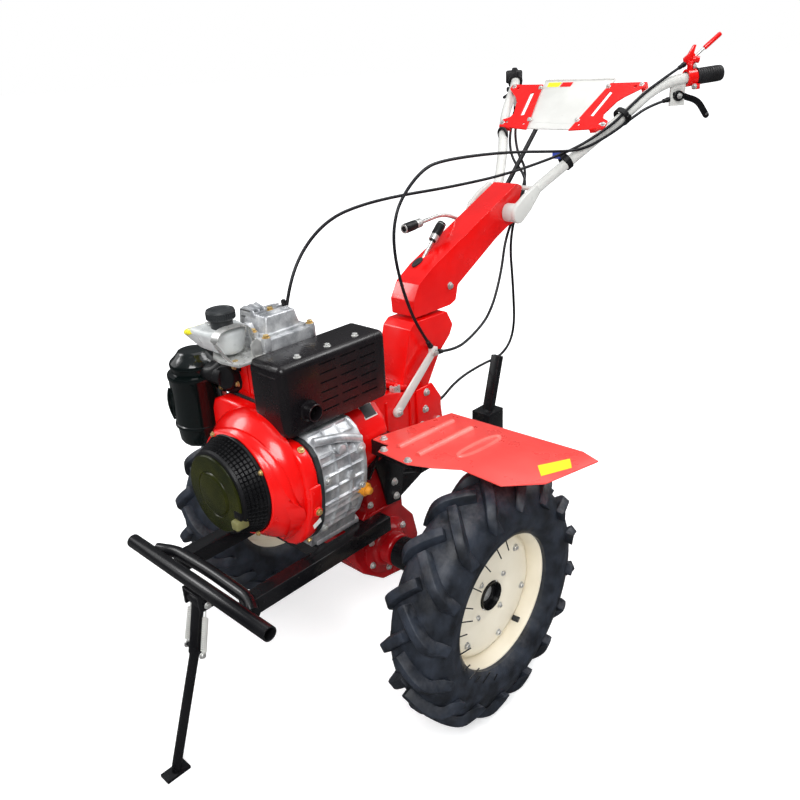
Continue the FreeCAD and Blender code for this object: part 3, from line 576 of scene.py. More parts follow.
def makeTyre(name):
    inner, outer = span("tyre_left", 0)
    half, plane = (outer - inner) / 2, (outer + inner) / 2
    low, high = span("tyre_left", 2)
    crown, level = (high - low) / 2, (high + low) / 2
    bead = wheel["bead"]
    base = crown - wheel["carcassDrop"]
    shoulder = ((0, base), (15, base - 0.5), (27, base - 2.5), (38, base - 8), (46, base - 17), (52, base - 32),
        (half - 2, base - 50), (half - 2, base - 60), (half - 5, base - 70), (half - 4.6, base - 73),
        (half - 8, base - 79), (half - 13, bead + 6), (half - 18.5, bead + 1))
    steps = [(radius, plane - across) for across, radius in shoulder[:0:-1]]
    steps += [(radius, plane + across) for across, radius in shoulder]
    steps.append(steps[0])
    carcass = turned("carcass", (0, 0, level), (1, 0, 0), steps, 96)
    top, foot, high = wheel["lugTop"], wheel["lugFoot"], wheel["lugHigh"]
    section = ((-foot, -high - 4), (-top, 0), (top, 0), (foot, -high - 4))
    path = ((-8, 9, -1), (10, -8, 0), (24, -22, -2), (36, -34, -6), (45, -44, -14), (51, -51, -27),
            (half - 3, -56, -42), (half - 3, -58, -58))
    pieces = [carcass]
    centre = at(0, 0, level)
    for hand, offset in ((1, 0.0), (-1, 0.5)):
        route = [(plane + hand * across, along, level + crown + drop) for across, along, drop in path]
        lug = smooth(roundEdges(drawn("lug", route, section, steps=2), 1.6, 2, 50), 40)
        for index in range(wheel["lugs"]):
            turn = 2 * math.pi * (index + offset) / wheel["lugs"]
            spin = Matrix.Translation(centre) @ Matrix.Rotation(turn, 4, "X") @ Matrix.Translation(-centre)
            pieces.append(copyOf(lug, "lug", spin))
        bpy.data.objects.remove(lug)
    return smooth(joined(name, pieces), 40)


def makeRim(name):
    low, high = span("rim_left", 0)
    lip, bead, dish = 141.0, 126.0, high - 30
    steps = ((29, dish - 4), (29, dish), (48, dish), (52, dish + 2), (104, dish + 2), (112, dish + 1),
        (118, dish - 3), (121, dish - 8), (123, dish - 8), (124, dish + 2), (bead, high - 12),
        (bead + 2, high - 6), (lip - 4, high - 1.5), (lip - 1, high), (lip, high - 1), (lip - 1, high - 3),
        (bead + 4, high - 8), (bead + 2.6, high - 14), (bead + 2, low + 14), (bead + 4, low + 8),
        (lip - 1, low + 3), (lip, low + 1), (lip - 1, low), (lip - 4, low + 1.5), (bead + 2, low + 6),
        (bead, low + 12), (bead - 1, dish - 10), (118, dish - 10), (108, dish - 3), (54, dish - 2),
        (46, dish - 4), (29, dish - 4))
    return smooth(turned(name, (0, 0, axleLevel), (1, 0, 0), steps, 72), 40)


def makeWheels():
    tyre, rim = makeTyre("tyreLeft"), makeRim("rimLeft")
    fitPair(tyre, tyreRubber, "wheels", "tyre_{}")
    fitPair(rim, cream, "wheels", "rim_{}")


makeWheels()
print("wheels")


# engine
def cutBy(piece, cutters):
    tool = joined("cutter", cutters)
    cut = piece.modifiers.new("cut", "BOOLEAN")
    cut.operation = "DIFFERENCE"
    cut.object = tool
    cut.solver = "EXACT"
    selectOnly(piece)
    bpy.ops.object.modifier_apply(modifier="cut")
    bpy.data.objects.remove(tool)
    return piece


def sliced(piece, cuts):
    # flat cuts across every face, so that a wall can be worked cell by cell
    editAll(piece)
    for place, direction in cuts:
        bpy.ops.mesh.select_all(action="SELECT")
        bpy.ops.mesh.bisect(plane_co=at(*place), plane_no=direction)
    leaveEdit()
    return piece


def pockets(piece, test, wall, depth):
    # every chosen face sinks on its own and leaves a rib between it and its neighbours
    pick(piece, test)
    bpy.ops.mesh.inset(thickness=wall / 2000, depth=-depth / 1000, use_individual=True)
    leaveEdit()
    return piece


mufflerBox = {"low": (5, -240, 574), "high": (92, -2, 703), "stub": (-191, 615), "rows": 6, "columns": 3,
    "slot": (37, 3.0), "pitch": (46, 16.5), "first": (-161, 684), "round": 13.0}


def makeMuffler():
    low, high = mufflerBox["low"], mufflerBox["high"]
    profile = ((low[0], high[2]), (high[0], high[2]), (high[0], 588), (high[0] - 4, 578), (high[0] - 14, 574),
        (low[0] + 36, 574), (low[0] + 22, 577), (low[0] + 12, 583), (low[0] + 5, 592), (low[0] + 1, 604),
        (low[0], 620))
    body = plate("muffler", [(x, low[1], z) for x, z in profile], (0, high[1] - low[1], 0))
    roundEdges(body, mufflerBox["round"], 6, 60)
    slots = []
    long, tall = mufflerBox["slot"]
    for column in range(mufflerBox["columns"]):
        for row in range(mufflerBox["rows"]):
            y = mufflerBox["first"][0] + mufflerBox["pitch"][0] * column
            z = mufflerBox["first"][1] - mufflerBox["pitch"][1] * row
            slots.append(block("slot", (high[0] - 2.6, y, z), (high[0] + 3, y + long, z + tall), 1.2))
    cutBy(body, slots)
    y, z = mufflerBox["stub"]
    stub = turned("stub", (0, y, z), (1, 0, 0), ((19, high[0] - 1), (18.5, high[0] + 1), (15.6, high[0] + 2.4),
        (15, high[0] + 4), (15, high[0] + 17.4), (14.4, high[0] + 18), (12.9, high[0] + 18),
        (12.5, high[0] + 17.4), (12.5, high[0] - 9), (0.5, high[0] - 9)), 40)
    seam = drawn("seam", ((low[0] + 9, low[1], high[2] - 20), (high[0] - 14, low[1], high[2] - 20)), radius=0.8,
        straight=True)
    fitWhole("mufflerBody", [body, stub, seam], mufflerBlack, "chassis", "muffler")
    spots = facing((0, 0, 1), *[(high[0] - 20, y, high[2] - 0.4) for y in (-188, -122, -58)])
    fit(bolts("mufflerBolts", spots, 0.85), steel, "chassis")


starter = {"height": 490, "back": -288, "drum": 90, "disc": 69, "slots": 60, "rib": 2.6, "depth": 3.4}


def makeStarter():
    z, back, drum, disc = starter["height"], -starter["back"], starter["drum"], starter["disc"]
    lean = (drum - disc - 4) / 42
    steps = [(drum - 6, back - 1), (drum, back), (drum - 0.6, back + 3)]
    steps += [(drum - lean * reach, back + reach) for reach in (4, 10.5, 17, 23.5, 30, 36.5)]
    steps += [(disc + 4.5, back + 41), (disc + 2, back + 42), (disc - 6, back + 42)]
    shell = turned("starterDrum", (0, 0, z), (0, -1, 0), steps, starter["slots"])
    front, rear = at(0, -back - 36.4, 0).y, at(0, -back - 4.2, 0).y
    pockets(shell, lambda middle, normal: abs(normal.y) < 0.6 and front < middle.y < rear,
            starter["rib"], starter["depth"])
    fit(smooth(shell, 30), blackPlastic, "chassis", "recoil_starter")
    face = turned("starterFace", (0, 0, z), (0, -1, 0), ((disc - 6, back + 41.8), (disc - 0.6, back + 42),
        (disc, back + 43), (disc, back + 45), (disc - 1.6, back + 46.6), (42, back + 47.6), (41, back + 46.4),
        (39.4, back + 46.4), (38.4, back + 48), (36.6, back + 49.4), (34, back + 49.8), (0.4, back + 50.2)), 72)
    fit(smooth(face, 30), discPaint, "chassis")
    fit(bolts("starterBolts", [((92 * math.cos(turn), -back - 3, z + 92 * math.sin(turn)), (0, -1, 0))
        for turn in (0.55, 2.1, 3.7, 5.25)], 0.7), brass, "chassis")
    grip = block("starterGrip", (50, -back - 56, z - 44), (68, -back - 30, z - 26), 4.5, 3)
    collar = block("gripCollar", (50, -back - 48, z - 28), (68, -back - 30, z - 10), 3.0)
    fit(smooth(grip), olivePlastic, "chassis", "starter_grip")
    fit(smooth(collar), blackPlastic, "chassis")


shroud = {"front": -241, "rear": -213, "swell": 120, "round": 7.0, "gasket": 1.004,
    "outline": ((60, 366), (78, 372), (94, 384), (108, 401), (118, 420), (124, 442), (127, 468), (128, 495),
    (126, 522), (118, 545), (106, 558), (88, 566), (8, 572), (0, 600), (-12, 608), (-88, 610), (-110, 602),
    (-119, 584), (-122, 500), (-120, 446), (-110, 406), (-92, 384), (-60, 366))}


def makeShroud():
    z, front, rear = starter["height"], shroud["front"], shroud["rear"]
    scroll = plate("scroll", [(x, front, up) for x, up in shroud["outline"]], (0, rear - front, 0))
    roundEdges(scroll, shroud["round"], 3, 55)
    wide = shroud["swell"]
    bell = turned("bell", (0, 0, z), (0, -1, 0), ((wide, 236), (wide, 244), (wide - 1.6, 250), (wide - 5, 257),
        (wide - 10, 264), (wide - 15.5, 270.5), (wide - 20, 276), (wide - 23, 281), (wide - 24.6, 285),
        (wide - 26, 287.4), (wide - 28, 287.8), (wide - 29.6, 286.4), (wide - 30, 280)), 80)
    ridge = [(math.cos(turn) * radius, -reach, z + math.sin(turn) * radius)
        for turn, radius, reach in ((2.1, 97, 281), (1.7, 99, 279), (1.3, 102, 275), (0.95, 106, 270),
        (0.55, 110, 264), (0.2, 113, 259), (-0.2, 116, 253), (-0.6, 117.5, 248), (-0.95, 117, 244))]
    swirl = drawn("swirl", ridge, section=((-16, -8), (-7, 0.6), (0, 2.4), (5, 0.8), (12, -8)), steps=5)
    fold = plate("fold", ((84, -244, 560), (120, -238, 540), (126, -238, 512), (96, -250, 536)), (0, 24, 0),
        4.0, 3)
    pad = plate("pad", ((116, -240, 428), (128, -238, 446), (130.5, -236, 474), (130.5, -236, 500),
        (120, -238, 500), (112, -240, 440)), (0, 24, 0), 3.0, 3)
    lug = bar("lug", (118, -224, 452), (131.5, -224, 452), 9, 1.5)
    casing = joined("fanShroud", [scroll, bell, swirl, fold, pad, lug])
    fit(smooth(casing, 50), red, "chassis", "fan_shroud")
    gasket = plate("shroudGasket", [(x * shroud["gasket"], rear, up) for x, up in shroud["outline"]], (0, 9, 0),
        1.2)
    fit(gasket, darkGrey, "chassis")
    fit(bolts("shroudBolts", (((131.2, -224, 452), (1, 0, 0)), ((98, -226, 386), (0.7, 0, -0.7)),
        ((104, -226, 560), (0.5, 0, 0.86)), ((-122, -226, 520), (-1, 0, 0)),
        ((-112, -226, 404), (-0.9, 0, -0.4))), 0.85), brass, "chassis")
    blank = plate("blankLabel", ((129.2, -236, 424), (129.2, -219, 431), (129.2, -221, 439),
        (129.2, -238, 432)), (0.5, 0, 0))
    fit(blank, panelPale, "chassis")


case = {"front": -204, "rear": -98, "base": 345, "across": (-197, -165, -133, -105), "level": (398, 436, 536),
        "lowest": 386, "rib": 4.6, "depth": 5.0}


def makeCrankcase():
    front, rear, base = case["front"], case["rear"], case["base"]
    half = ((76, base + 4), (79, base + 24), (93, 384), (109, 420), (117, 444), (121, 472), (122, 498),
        (119, 520), (115, 534), (102, 555), (84, 568))
    profile = list(half) + [(-x, z) for x, z in half[::-1]]
    body = plate("case", [(x, front, z) for x, z in profile], (0, rear - front, 0))
    cuts = [((0, y, 0), (0, 1, 0)) for y in case["across"]]
    cuts += [((0, 0, z), (0, 0, 1)) for z in case["level"]]
    sliced(body, cuts)
    near, far = at(0, front + 5, 0).y, at(0, rear - 4, 0).y
    lowest = case["lowest"] / 1000

    def onSide(middle, normal):
        return abs(normal.x) > 0.25 and abs(normal.y) < 0.5 and near < middle.y < far and middle.z > lowest

    pockets(body, onSide, case["rib"], case["depth"])
    roundEdges(body, 1.3, 2, 40)
    foot = plate("foot", ((-78, front + 12, base), (78, front + 12, base), (78, front + 12, base + 8),
        (72, front + 12, base + 14), (-72, front + 12, base + 14), (-78, front + 12, base + 8)),
        (0, rear - front - 3, 0), 2.0)
    bosses = [bar("boss", (reach - 16, y, z), (reach, y, z), radius, 1.4)
        for reach, y, z, radius in ((121, -108, 520, 11), (122, -190, 492, 9), (118, -110, 448, 10),
        (100, -190, 392, 9), (119, -150, 534, 9), (122, -134, 480, 8), (104, -118, 410, 8))]
    rail = drawn("oilGallery", ((100, -196, 560), (108, -160, 556), (112, -128, 548), (114, -104, 536)),
        radius=8)
    web = plate("web", ((-70, rear - 4, base + 12), (70, rear - 4, base + 12), (88, rear - 4, 400),
        (-88, rear - 4, 400)), (0, 5, 0), 2)
    fitWhole("crankcaseCasting", [body, foot, rail, web] + bosses, aluminium, "chassis", "crankcase")
    spots = facing((1, 0, 0), (121, -108, 520), (122, -190, 492), (118, -110, 448), (100, -190, 392))
    spots += facing((0, 0, 1), (68, -178, base + 13), (68, -112, base + 13))
    fit(bolts("caseBolts", spots, 0.9), steel, "chassis")
    cap = turned("oilCap", (112, -104, 436), (1, 0.15, -0.1), ((11, -6), (11, 3), (12.5, 4), (12.5, 9),
        (11, 10.5), (8, 11), (7, 17), (5, 19), (0.4, 19)), 20)
    fit(smooth(cap), amber, "chassis")


tank = {"low": (-125, -290, 702), "high": (-5, -206, 752), "cap": (-34, -250), "fold": -76, "slope": 0.36,
    "patch": -97, "points": 36, "corner": 0.62, "taper": (0.7, 0.5, 1), "round": 14.0, "patchLift": 0.0007}


def makeTank():
    low, high = tank["low"], tank["high"]
    middle = ((low[0] + high[0]) / 2, (low[1] + high[1]) / 2)
    halfWide, halfDeep = (high[0] - low[0]) / 2, (high[1] - low[1]) / 2
    ring = []
    for index in range(tank["points"]):
        turn = 2 * math.pi * index / tank["points"]
        across, along = [math.copysign(abs(part) ** tank["corner"], part)
            for part in (math.cos(turn), math.sin(turn))]
        ring.append((middle[0] + halfWide * across, middle[1] + halfDeep * along, low[2]))
    body = plate("tankBody", ring, (0, 0, high[2] - low[2]))
    sliced(body, [((x, 0, 0), (1, 0, 0)) for x in (tank["fold"], tank["patch"])])
    pick(body, lambda middle, normal: normal.z < -0.9)
    bpy.ops.transform.resize(value=tank["taper"], center_override=at(middle[0] + 14, high[1] - 20, low[2]))
    leaveEdit()
    pick(body, lambda middle, normal: normal.z > 0.9 and middle.x < tank["fold"] / 1000)
    bpy.ops.transform.rotate(value=tank["slope"], orient_axis="Y", center_override=at(tank["fold"], 0, high[2]))
    leaveEdit()
    roundEdges(body, tank["round"], 6, 30)
    fit(smooth(body, 60), tankWhite, "chassis", "fuel_tank")
    patch = copyOf(body, "tankPatch")
    rear = at(0, high[1] - 8, 0).y

    def underPatch(middle, normal):
        end = middle.x < tank["patch"] / 1000 - 0.001 or (middle.x < tank["fold"] / 1000 and normal.z < 0.6)
        return end and middle.z > low[2] / 1000 + 0.013 and normal.z > -0.5 and middle.y < rear

    pick(patch, underPatch)
    bpy.ops.mesh.select_all(action="INVERT")
    bpy.ops.mesh.delete(type="FACE")
    editAll(patch)
    bpy.ops.mesh.extrude_region_shrink_fatten(TRANSFORM_OT_shrink_fatten={"value": tank["patchLift"]})
    leaveEdit()
    fit(cleanUp(patch), yellow, "chassis")
    x, y = tank["cap"]
    cap = turned("fuelCap", (x, y, 0), (0, 0, 1), ((18, 749), (18, 766), (23, 766.6), (24, 768), (24, 778),
        (22.6, 781.6), (19, 783), (16, 783), (14.5, 781.6), (0.4, 781)), 44)
    pockets(cap, lambda middle, normal: abs(normal.z) < 0.3 and middle.z > 0.7675, 1.4, 0.9)
    fit(smooth(cap, 30), darkGrey, "chassis", "fuel_cap")


head = {"metal": ((-92, -198, 676), (4, -86, 718)), "cover": ((-80, -182, 716), (-12, -104, 752))}


def makeHead():
    low, high = head["metal"]
    pieces = [block("headBlock", low, high, 3.0)]
    low, high = head["cover"]
    cover = block("rockerCover", low, high)
    pick(cover, lambda middle, normal: normal.z > 0.9)
    bpy.ops.transform.resize(value=(0.84, 0.8, 1))
    bpy.ops.mesh.inset(thickness=0.006, depth=-0.0022)
    leaveEdit()
    pieces += [roundEdges(cover, 4.0, 3), block("coverFlange", (low[0] - 5, low[1] - 5, 717),
        (high[0] + 5, high[1] + 5, 723), 1.5)]
    pieces += [block("coverRib", (x, low[1] + 8, high[2] - 4), (x + 3.5, high[1] - 8, high[2] + 1.2), 1.0)
        for x in (-62, -49, -36)]
    pieces += [bar("headBoss", (x, y, 700), (x, y, level), 8, 1.2)
        for x, y, level in ((-28, -196, 729), (-2, -190, 722), (-84, -194, 724), (-84, -92, 724),
        (-2, -94, 722))]
    pieces += [block("exhaustFlange", (-1, -167, 646), (5, -113, 680), 2.0),
        plate("breather", ((-72, -196, 718), (-58, -196, 738), (-44, -196, 740), (-34, -196, 724),
        (-34, -196, 716), (-72, -196, 716)), (0, 12, 0), 2.0)]
    pieces += [plate("lifter", ((-94, y, 716), (-40, y, 716), (-42, y, 744), (-52, y, 756), (-74, y, 762),
        (-88, y, 754)), (0, 4, 0), 1.2) for y in (-176, -164, -152)]
    pieces += [block("lifterWeb", (-86, -176, low), (-56, -150, low + 4), 1.0) for low in (740, 752)]
    fitWhole("headCasting", pieces, aluminium, "chassis", "cylinder_head")
    bracket = plate("tankBracket", ((-56, -262, 694), (-28, -268, 694), (14, -262, 694), (16, -240, 694),
        (4, -198, 694), (-94, -198, 694), (-94, -236, 694)), (0, 0, 5), 1.0)
    straps = []
    for shift in (0, -44):
        route = ((-4 + shift, -206, 694), (-6 + shift, -214, 742), (-8 + shift, -226, 756),
            (-10 + shift, -264, 757), (-8 + shift, -279, 753), (-7 + shift, -287, 742), (-6 + shift, -279, 722),
            (-5 + shift, -262, 699))
        if shift:
            route = route[:4]
        straps.append(drawn("strap", route, section=((-8, -1), (8, -1), (8, 1), (-8, 1))))
    tab = plate("liftTab", ((2, -226, 694), (2, -206, 694), (2, -206, 722), (2, -214, 730), (2, -226, 722)),
        (3, 0, 0), 0.8)
    fitWhole("tankStraps", [bracket, tab] + straps, steel, "chassis", "tank_bracket")
    spots = facing((0, 0, 1), (-28, -196, 729), (-2, -190, 722), (-84, -194, 724), (-84, -92, 724),
        (-2, -94, 722), (-8, -252, 694.5), (-46, -143, 751))
    fit(bolts("headBolts", spots, 0.95), brass, "chassis")


airCan = (-177, -227, 500)


def makeAirCleaner():
    steps = ((0.5, 0), (38, 0), (43, 2.4), (46, 8), (47.6, 32), (48.4, 34.4), (51, 35.4), (51.2, 38),
        (50.6, 40.4), (48.6, 41.6), (48.8, 46), (50, 126), (51.2, 127.4), (51.6, 130), (51.6, 134),
        (50.6, 136.4), (45.4, 137.4), (42, 139.4), (41.4, 144), (42, 147.6), (44.4, 149.4), (44.6, 154),
        (43, 157.6), (34, 166), (28.6, 172.4), (26.4, 175.4), (23, 176.8), (0.5, 177))
    can = turned("airCan", airCan, (0, 0, 1), steps, 64)
    clip = block("clip", *near(airCan, (-34, -45, 52), (-22, -35, 104)), 2.5)
    route = near(airCan, (-28, -43, 108), (-29, -48, 96), (-29, -48, 66), (-28, -42, 46))
    latch = drawn("latch", route, radius=2.2)
    drain = bar("drain", *near(airCan, (-30, -16, -16), (-22, -10, 6)), 11, 2.0)
    fit(smooth(joined("airCleaner", [can, clip, latch]), 40), enamel, "chassis", "air_cleaner")
    fit(smooth(drain), darkGrey, "chassis")


def makeCowl():
    # the red air guide round the cylinder and the black inlet pipe's flange in front of it
    front = [block(name, low, high, width) for name, low, high, width in (
        ("cowlFront", (-101, -208, 590), (2, -204.5, 684), 1.2),
        ("cowlSide", (-101, -206, 590), (-97.5, -112, 672), 1.2),
        ("cowlLip", (-101, -212, 676), (2, -203, 680), 1.4))]
    front += [block("cowlRib", (x, -210, 612), (x + 5, -204, 672), 1.4) for x in (-74, -46, -18)]
    fitWhole("cowl", front, red, "chassis")
    inlet = (-92, -206, 640)
    steps = ((30, 0), (31, 1), (31, 8), (29, 10), (24, 11), (22, 20), (20, 23), (0.5, 24))
    flange = turned("inletFlange", inlet, (0.3, -1, 0.1), steps, 32)
    neck = bar("inletNeck", near(inlet, (-2, -12, 0))[0], (-134, -222, 642), 19, 2.0)
    ears = []
    for shift in (0, 50):
        ears.append(block("ear", *near(inlet, (shift - 36, -9, shift - 36), (shift - 18, 0, shift - 18)), 3.0))
    fitWhole("inletPipe", [flange, neck] + ears, blackPlastic, "chassis")
    spots = facing((0, -1, 0), *near(inlet, (-27, -9, -27), (23, -9, 23), (26, -9, -8), (-8, -9, 28)))
    fit(bolts("inletBolts", spots, 0.75), brass, "chassis")


makeMuffler()
makeCowl()
makeStarter()
makeShroud()
makeCrankcase()
makeTank()
makeHead()
makeAirCleaner()
print("engine")


# wheel trim
trim = {"rimBolts": (6, 98, 42), "hubBolts": (4, 47, 36), "valve": (-53, 122), "vents": (13, 139), "hubCap": 27}


def makeWheelTrim():
    face, side = span("rim_left", 0)[1] - 28, span("tyre_left", 0)[1]
    heads = []
    for key, reach, scale in (("rimBolts", face, 0.95), ("hubBolts", face - 2, 0.8)):
        count, radius, first = trim[key]
        spots = [(reach, *onWheel(math.radians(first + 360 / count * index), radius)) for index in range(count)]
        heads.append(bolts(key, facing((1, 0, 0), *spots), scale))
    heads = joined("wheelBoltsLeft", heads)
    turn, radius = trim["valve"]
    y, z = onWheel(math.radians(turn), radius)
    valve = bar("valveLeft", (face - 4, y, z), (face + 9, y * 1.02, z), 5.5, 0.6)
    hairs = []
    count, radius = trim["vents"]
    for index in range(count):
        turn = math.radians(96 + 168 / count * index + 3 * math.sin(5 * index))
        start = Vector((side - 5, *onWheel(turn, radius)))
        inward = Vector((0.25, -math.cos(turn), -math.sin(turn)))
        hairs.append(bar("hair", start - inward * 9, start + inward * (13 + 5 * math.sin(3 * index)), 1.15, 0,
            6))
    hairs = joined("ventsLeft", hairs)
    radius = trim["hubCap"]
    low, high = span("hub_left", 0)
    steps = ((32, low), (32, face - 12), (radius - 1, face - 6), (radius - 1, face + 2), (radius, face + 3),
        (radius, high - 1), (radius - 1, high), (18, high), (17, high - 1), (17, high - 9), (0.4, high - 9))
    hub = turned("hubLeft", (0, 0, axleLevel), (1, 0, 0), steps, 40)
    fitPair(heads, steel, "wheels")
    fitPair(valve, darkGrey, "wheels", slot="tyre_rubber")
    fitPair(hairs, blackPlastic, "wheels", slot="tyre_rubber")
    fitPair(smooth(hub), blackPaint, "wheels", "hub_{}")


makeWheelTrim()
print("wheel trim")


# gear case and column
def makeGearCase():
    z = starter["height"]
    shell = softened("gearbox_upper", 6.0, 3)
    flange = turned("flange", (0, 0, z), (0, 1, 0), ((60, -97.5), (81, -97.5), (82, -96.5), (82, -89),
        (81, -88), (74.5, -88), (74.5, -80), (60, -80)), 56)
    shoulder = turned("shoulder", (0, 0, z), (0, 1, 0), ((60, -84), (73, -84), (79, -79), (81.5, -72),
        (81.5, -6), (79, 0), (72, 4), (50, 4)), 64)
    ribs = [block("rib", (46, y, 452), (54, y + 5, 540), 1.5) for y in (26, 92)]
    cover = plate("cover", ((50, 112, 448), (50, 182, 440), (50, 184, 500), (50, 158, 538), (50, 112, 536)),
        (4.5, 0, 0), 1.6)
    neck = plate("neck", ((-46, 60, 552), (46, 60, 552), (46, 96, 540), (-46, 96, 540)), (0, 0, 12), 3.0)
    fitWhole("gearCaseUpper", [shell, flange, shoulder, cover, neck] + ribs, red, "chassis", "gearbox_upper")
    spots = []
    for radius, y, way, turns in ((78, -88, 1, (0.1, 0.9, 1.7, 2.6, 3.6, 5.6)), (77, -97, -1, (0.45, 1.2))):
        places = [(radius * math.cos(turn), y, z + radius * math.sin(turn)) for turn in turns]
        spots += facing((0, way, 0), *places)
    spots += facing((1, 0, 0), (54.5, 134, 489), (54.5, 139, 524), (54.5, 172, 452), (54.5, 122, 458))
    fit(bolts("gearCaseBolts", spots, 1.05), steel, "chassis")
    key = block("caseLatch", (34, 56, 541), (47, 74, 560), 1.5)
    fit(key, steel, "chassis")
    # a blank plate on the shoulder: a pale rim and a dark face, each (name, finish, margin, reach)
    turn, half = 0.76, 0.15
    for name, finish, grow, reach in (("blankPlateRim", panelPale, 0.028, 81.3),
            ("blankPlate", darkGrey, 0.0, 81.7)):
        places = []
        for side, y in ((-1, -42 - grow * 60), (1, -42 - grow * 60), (1, -14 + grow * 60),
                (-1, -14 + grow * 60)):
            lean = turn + side * (half + grow)
            places.append((reach * math.cos(lean), y, z + reach * math.sin(lean)))
        fit(plate(name, places, (0.8, 0, 0.6), 0.2), finish, "chassis")
    lower = [softened("gearbox_lower", 6.0, 3)]
    collar = ((50, 51), (60, 52), (60, 57), (58.5, 58.5), (44, 59), (42, 66), (34.2, 70), (30, 70))
    for hand in (1, -1):
        lower.append(turned("collar", (0, 0, axleLevel), (hand, 0, 0), collar, 48))
        ridge = [(hand * 51, y, z) for y, z in ((-40, 320), (48, 320), (48, 326), (-40, 326))]
        lower.append(plate("ridge", ridge, (hand * 6, 0, 0), 1.5))
    fitWhole("gearCaseLower", lower, deepRed, "chassis", "gearbox_lower")
    spots = []
    for hand in (1, -1):
        places = [(hand * 58.8, *onWheel(0.5 + 2 * math.pi * index / 6, 52)) for index in range(6)]
        places += [(hand * 52, y, up) for y, up in ((-34, 344), (46, 344), (46, 402), (-34, 408))]
        spots += facing((hand, 0, 0), *places)
    fit(bolts("lowerCaseBolts", spots, 0.95), steel, "chassis")
    shaft = softened("axle_shaft", 1.0)
    fit(shaft, steel, "wheels", "axle_shaft")


def makeClutchArm():
    low, high = (54, 55, 511), (54, 164, 601)
    along = (Vector(high) - Vector(low)).normalized()
    across = Vector((0, -along.z, along.y))
    outline = []
    for centre, radius, first in ((low, 10.5, math.pi), (high, 8.5, 0)):
        for step in range(7):
            turn = first - math.pi / 2 + math.pi * step / 6
            outline.append(Vector(centre) + along * radius * math.cos(turn)
                + across * radius * math.sin(turn) - Vector((2.2, 0, 0)))
    strap = plate("clutchArm", outline, (4.4, 0, 0), 0.8)
    hub = bar("hub", (49, low[1], low[2]), (60, low[1], low[2]), 9, 1.2)
    clevis = [bar("clevis", (47, high[1], high[2]), (61, high[1], high[2]), 5, 0.8),
        block("fork", (49, high[1] - 8, high[2] - 4), (59, high[1] + 10, high[2] + 10), 1.5)]
    fitWhole("clutchArm", [strap, hub] + clevis, silver, "chassis", "clutch_arm", slot="zinc_steel")
    fit(bolts("clutchBolts", facing((1, 0, 0), (60, *low[1:]), (61, *high[1:])), 0.9), steel, "chassis")


def makeFenders():
    low, high = span("fender_left", 2)
    sheet = softened("fender_left", 1.0)
    crests = []
    ribSection = ((-8, -1), (-5, 4), (-2.5, 5.6), (2.5, 5.6), (5, 4), (8, -1))
    ovalSection = ((-4.5, -0.8), (-2.4, 2.8), (2.4, 2.8), (4.5, -0.8))
    for x, y, length in ((150, -42, 142), (197, -43, 140)):
        route = ((x - 4, y, high - 1), (x, y + length / 2, high - 1), (x + 4, y + length, high - 1))
        crests.append(drawn("rib", route, section=ribSection))
    ring = []
    for index in range(25):
        turn = 2 * math.pi * index / 24
        along = math.copysign(abs(math.sin(turn)) ** 0.75, math.sin(turn))
        ring.append((257 + 11 * math.cos(turn) + 5 * math.sin(turn), 48 + 52 * along, high - 0.6))
    crests.append(drawn("oval", ring, section=ovalSection, straight=True))
    left = smooth(sheet)
    left.name = "fenderLeft"
    crests = smooth(joined("fenderRibsLeft", crests))
    patch = plate("patchLeft", ((378, 50, high), (407, 103, high), (426, 78, high), (402, 24, high)),
        (0, 0, 0.5))
    spots = facing((0, 0, 1), (133, -66, high), (194, -70, high), (102, -34, high))
    heads = bolts("fenderBoltsLeft", spots)
    fitPair(left, brightRed, "chassis", "fender_{}")
    fitPair(patch, yellow, "chassis")
    # the ribs and the oval get the lighter red: a painted highlight along their crests
    fitPair(crests, ribHighlightRed, "chassis")
    fitPair(heads, steel, "chassis")
    plates = []
    gusset = ((-30, 470), (50, 470), (62, 400), (46, 322), (8, 326), (-4, 380))
    for hand in (1, -1):
        plates.append(plate("gusset", [(hand * 53, y, z) for y, z in gusset], (hand * 6, 0, 0), 1.5))
        route = ((hand * 74, -6, 494), (hand * 72, -30, 452), (hand * 68, -52, 416))
        plates.append(drawn("strut", route, section=((-7, -2), (7, -2), (7, 2), (-7, 2)), straight=True))
    fitWhole("fenderGussets", plates, blackPaint, "chassis")
    spots = [((hand * 59.5, y, up), (hand, 0, 0)) for hand in (1, -1)
        for y, up in ((29, 371), (32, 338), (24, 446))]
    fit(bolts("gussetBolts", spots, 1.05), steel, "chassis")


armSlot = {"middle": (-15, 205, 764), "long": 15, "wide": 8}


def makeColumn():
    post = softened("pedestal", 8.0, 5)
    fit(post, red, "chassis", "pedestal")
    seam = block("postSlot", (-14, 95.0, 560), (6, 112, 566), 2.0)
    fit(seam, darkGrey, "chassis")
    arm = softened("column_arm", 9.0, 5)
    fit(arm, red, "column", "column_arm")
    slope = Vector((0, 280, 120)).normalized()
    lift = Vector((0, -slope.z, slope.y))
    middle = Vector(armSlot["middle"])
    ring = []
    for index in range(20):
        turn = 2 * math.pi * index / 20
        ring.append(middle + Vector((armSlot["wide"] * math.cos(turn), 0, 0))
            + slope * armSlot["long"] * math.sin(turn) - lift * 3)
    # a dark plate in the slot's outline, with no opening cut: painted shade for the inside of the arm
    hole = plate("armSlot", ring, lift * 4.4, 0.6)
    fit(smooth(hole), darkGrey, "column")
    fit(bolts("armBolts", [((30.5, 250, 712), (1, 0, 0)), ((-30.5, 250, 712), (-1, 0, 0))], 1.0), steel,
        "column")


knobSteps = ((4.5, -3), (6.6, -2), (7.4, 2), (9.7, 12), (9.9, 26), (9.6, 28.4), (8.4, 29.6), (0.4, 30))


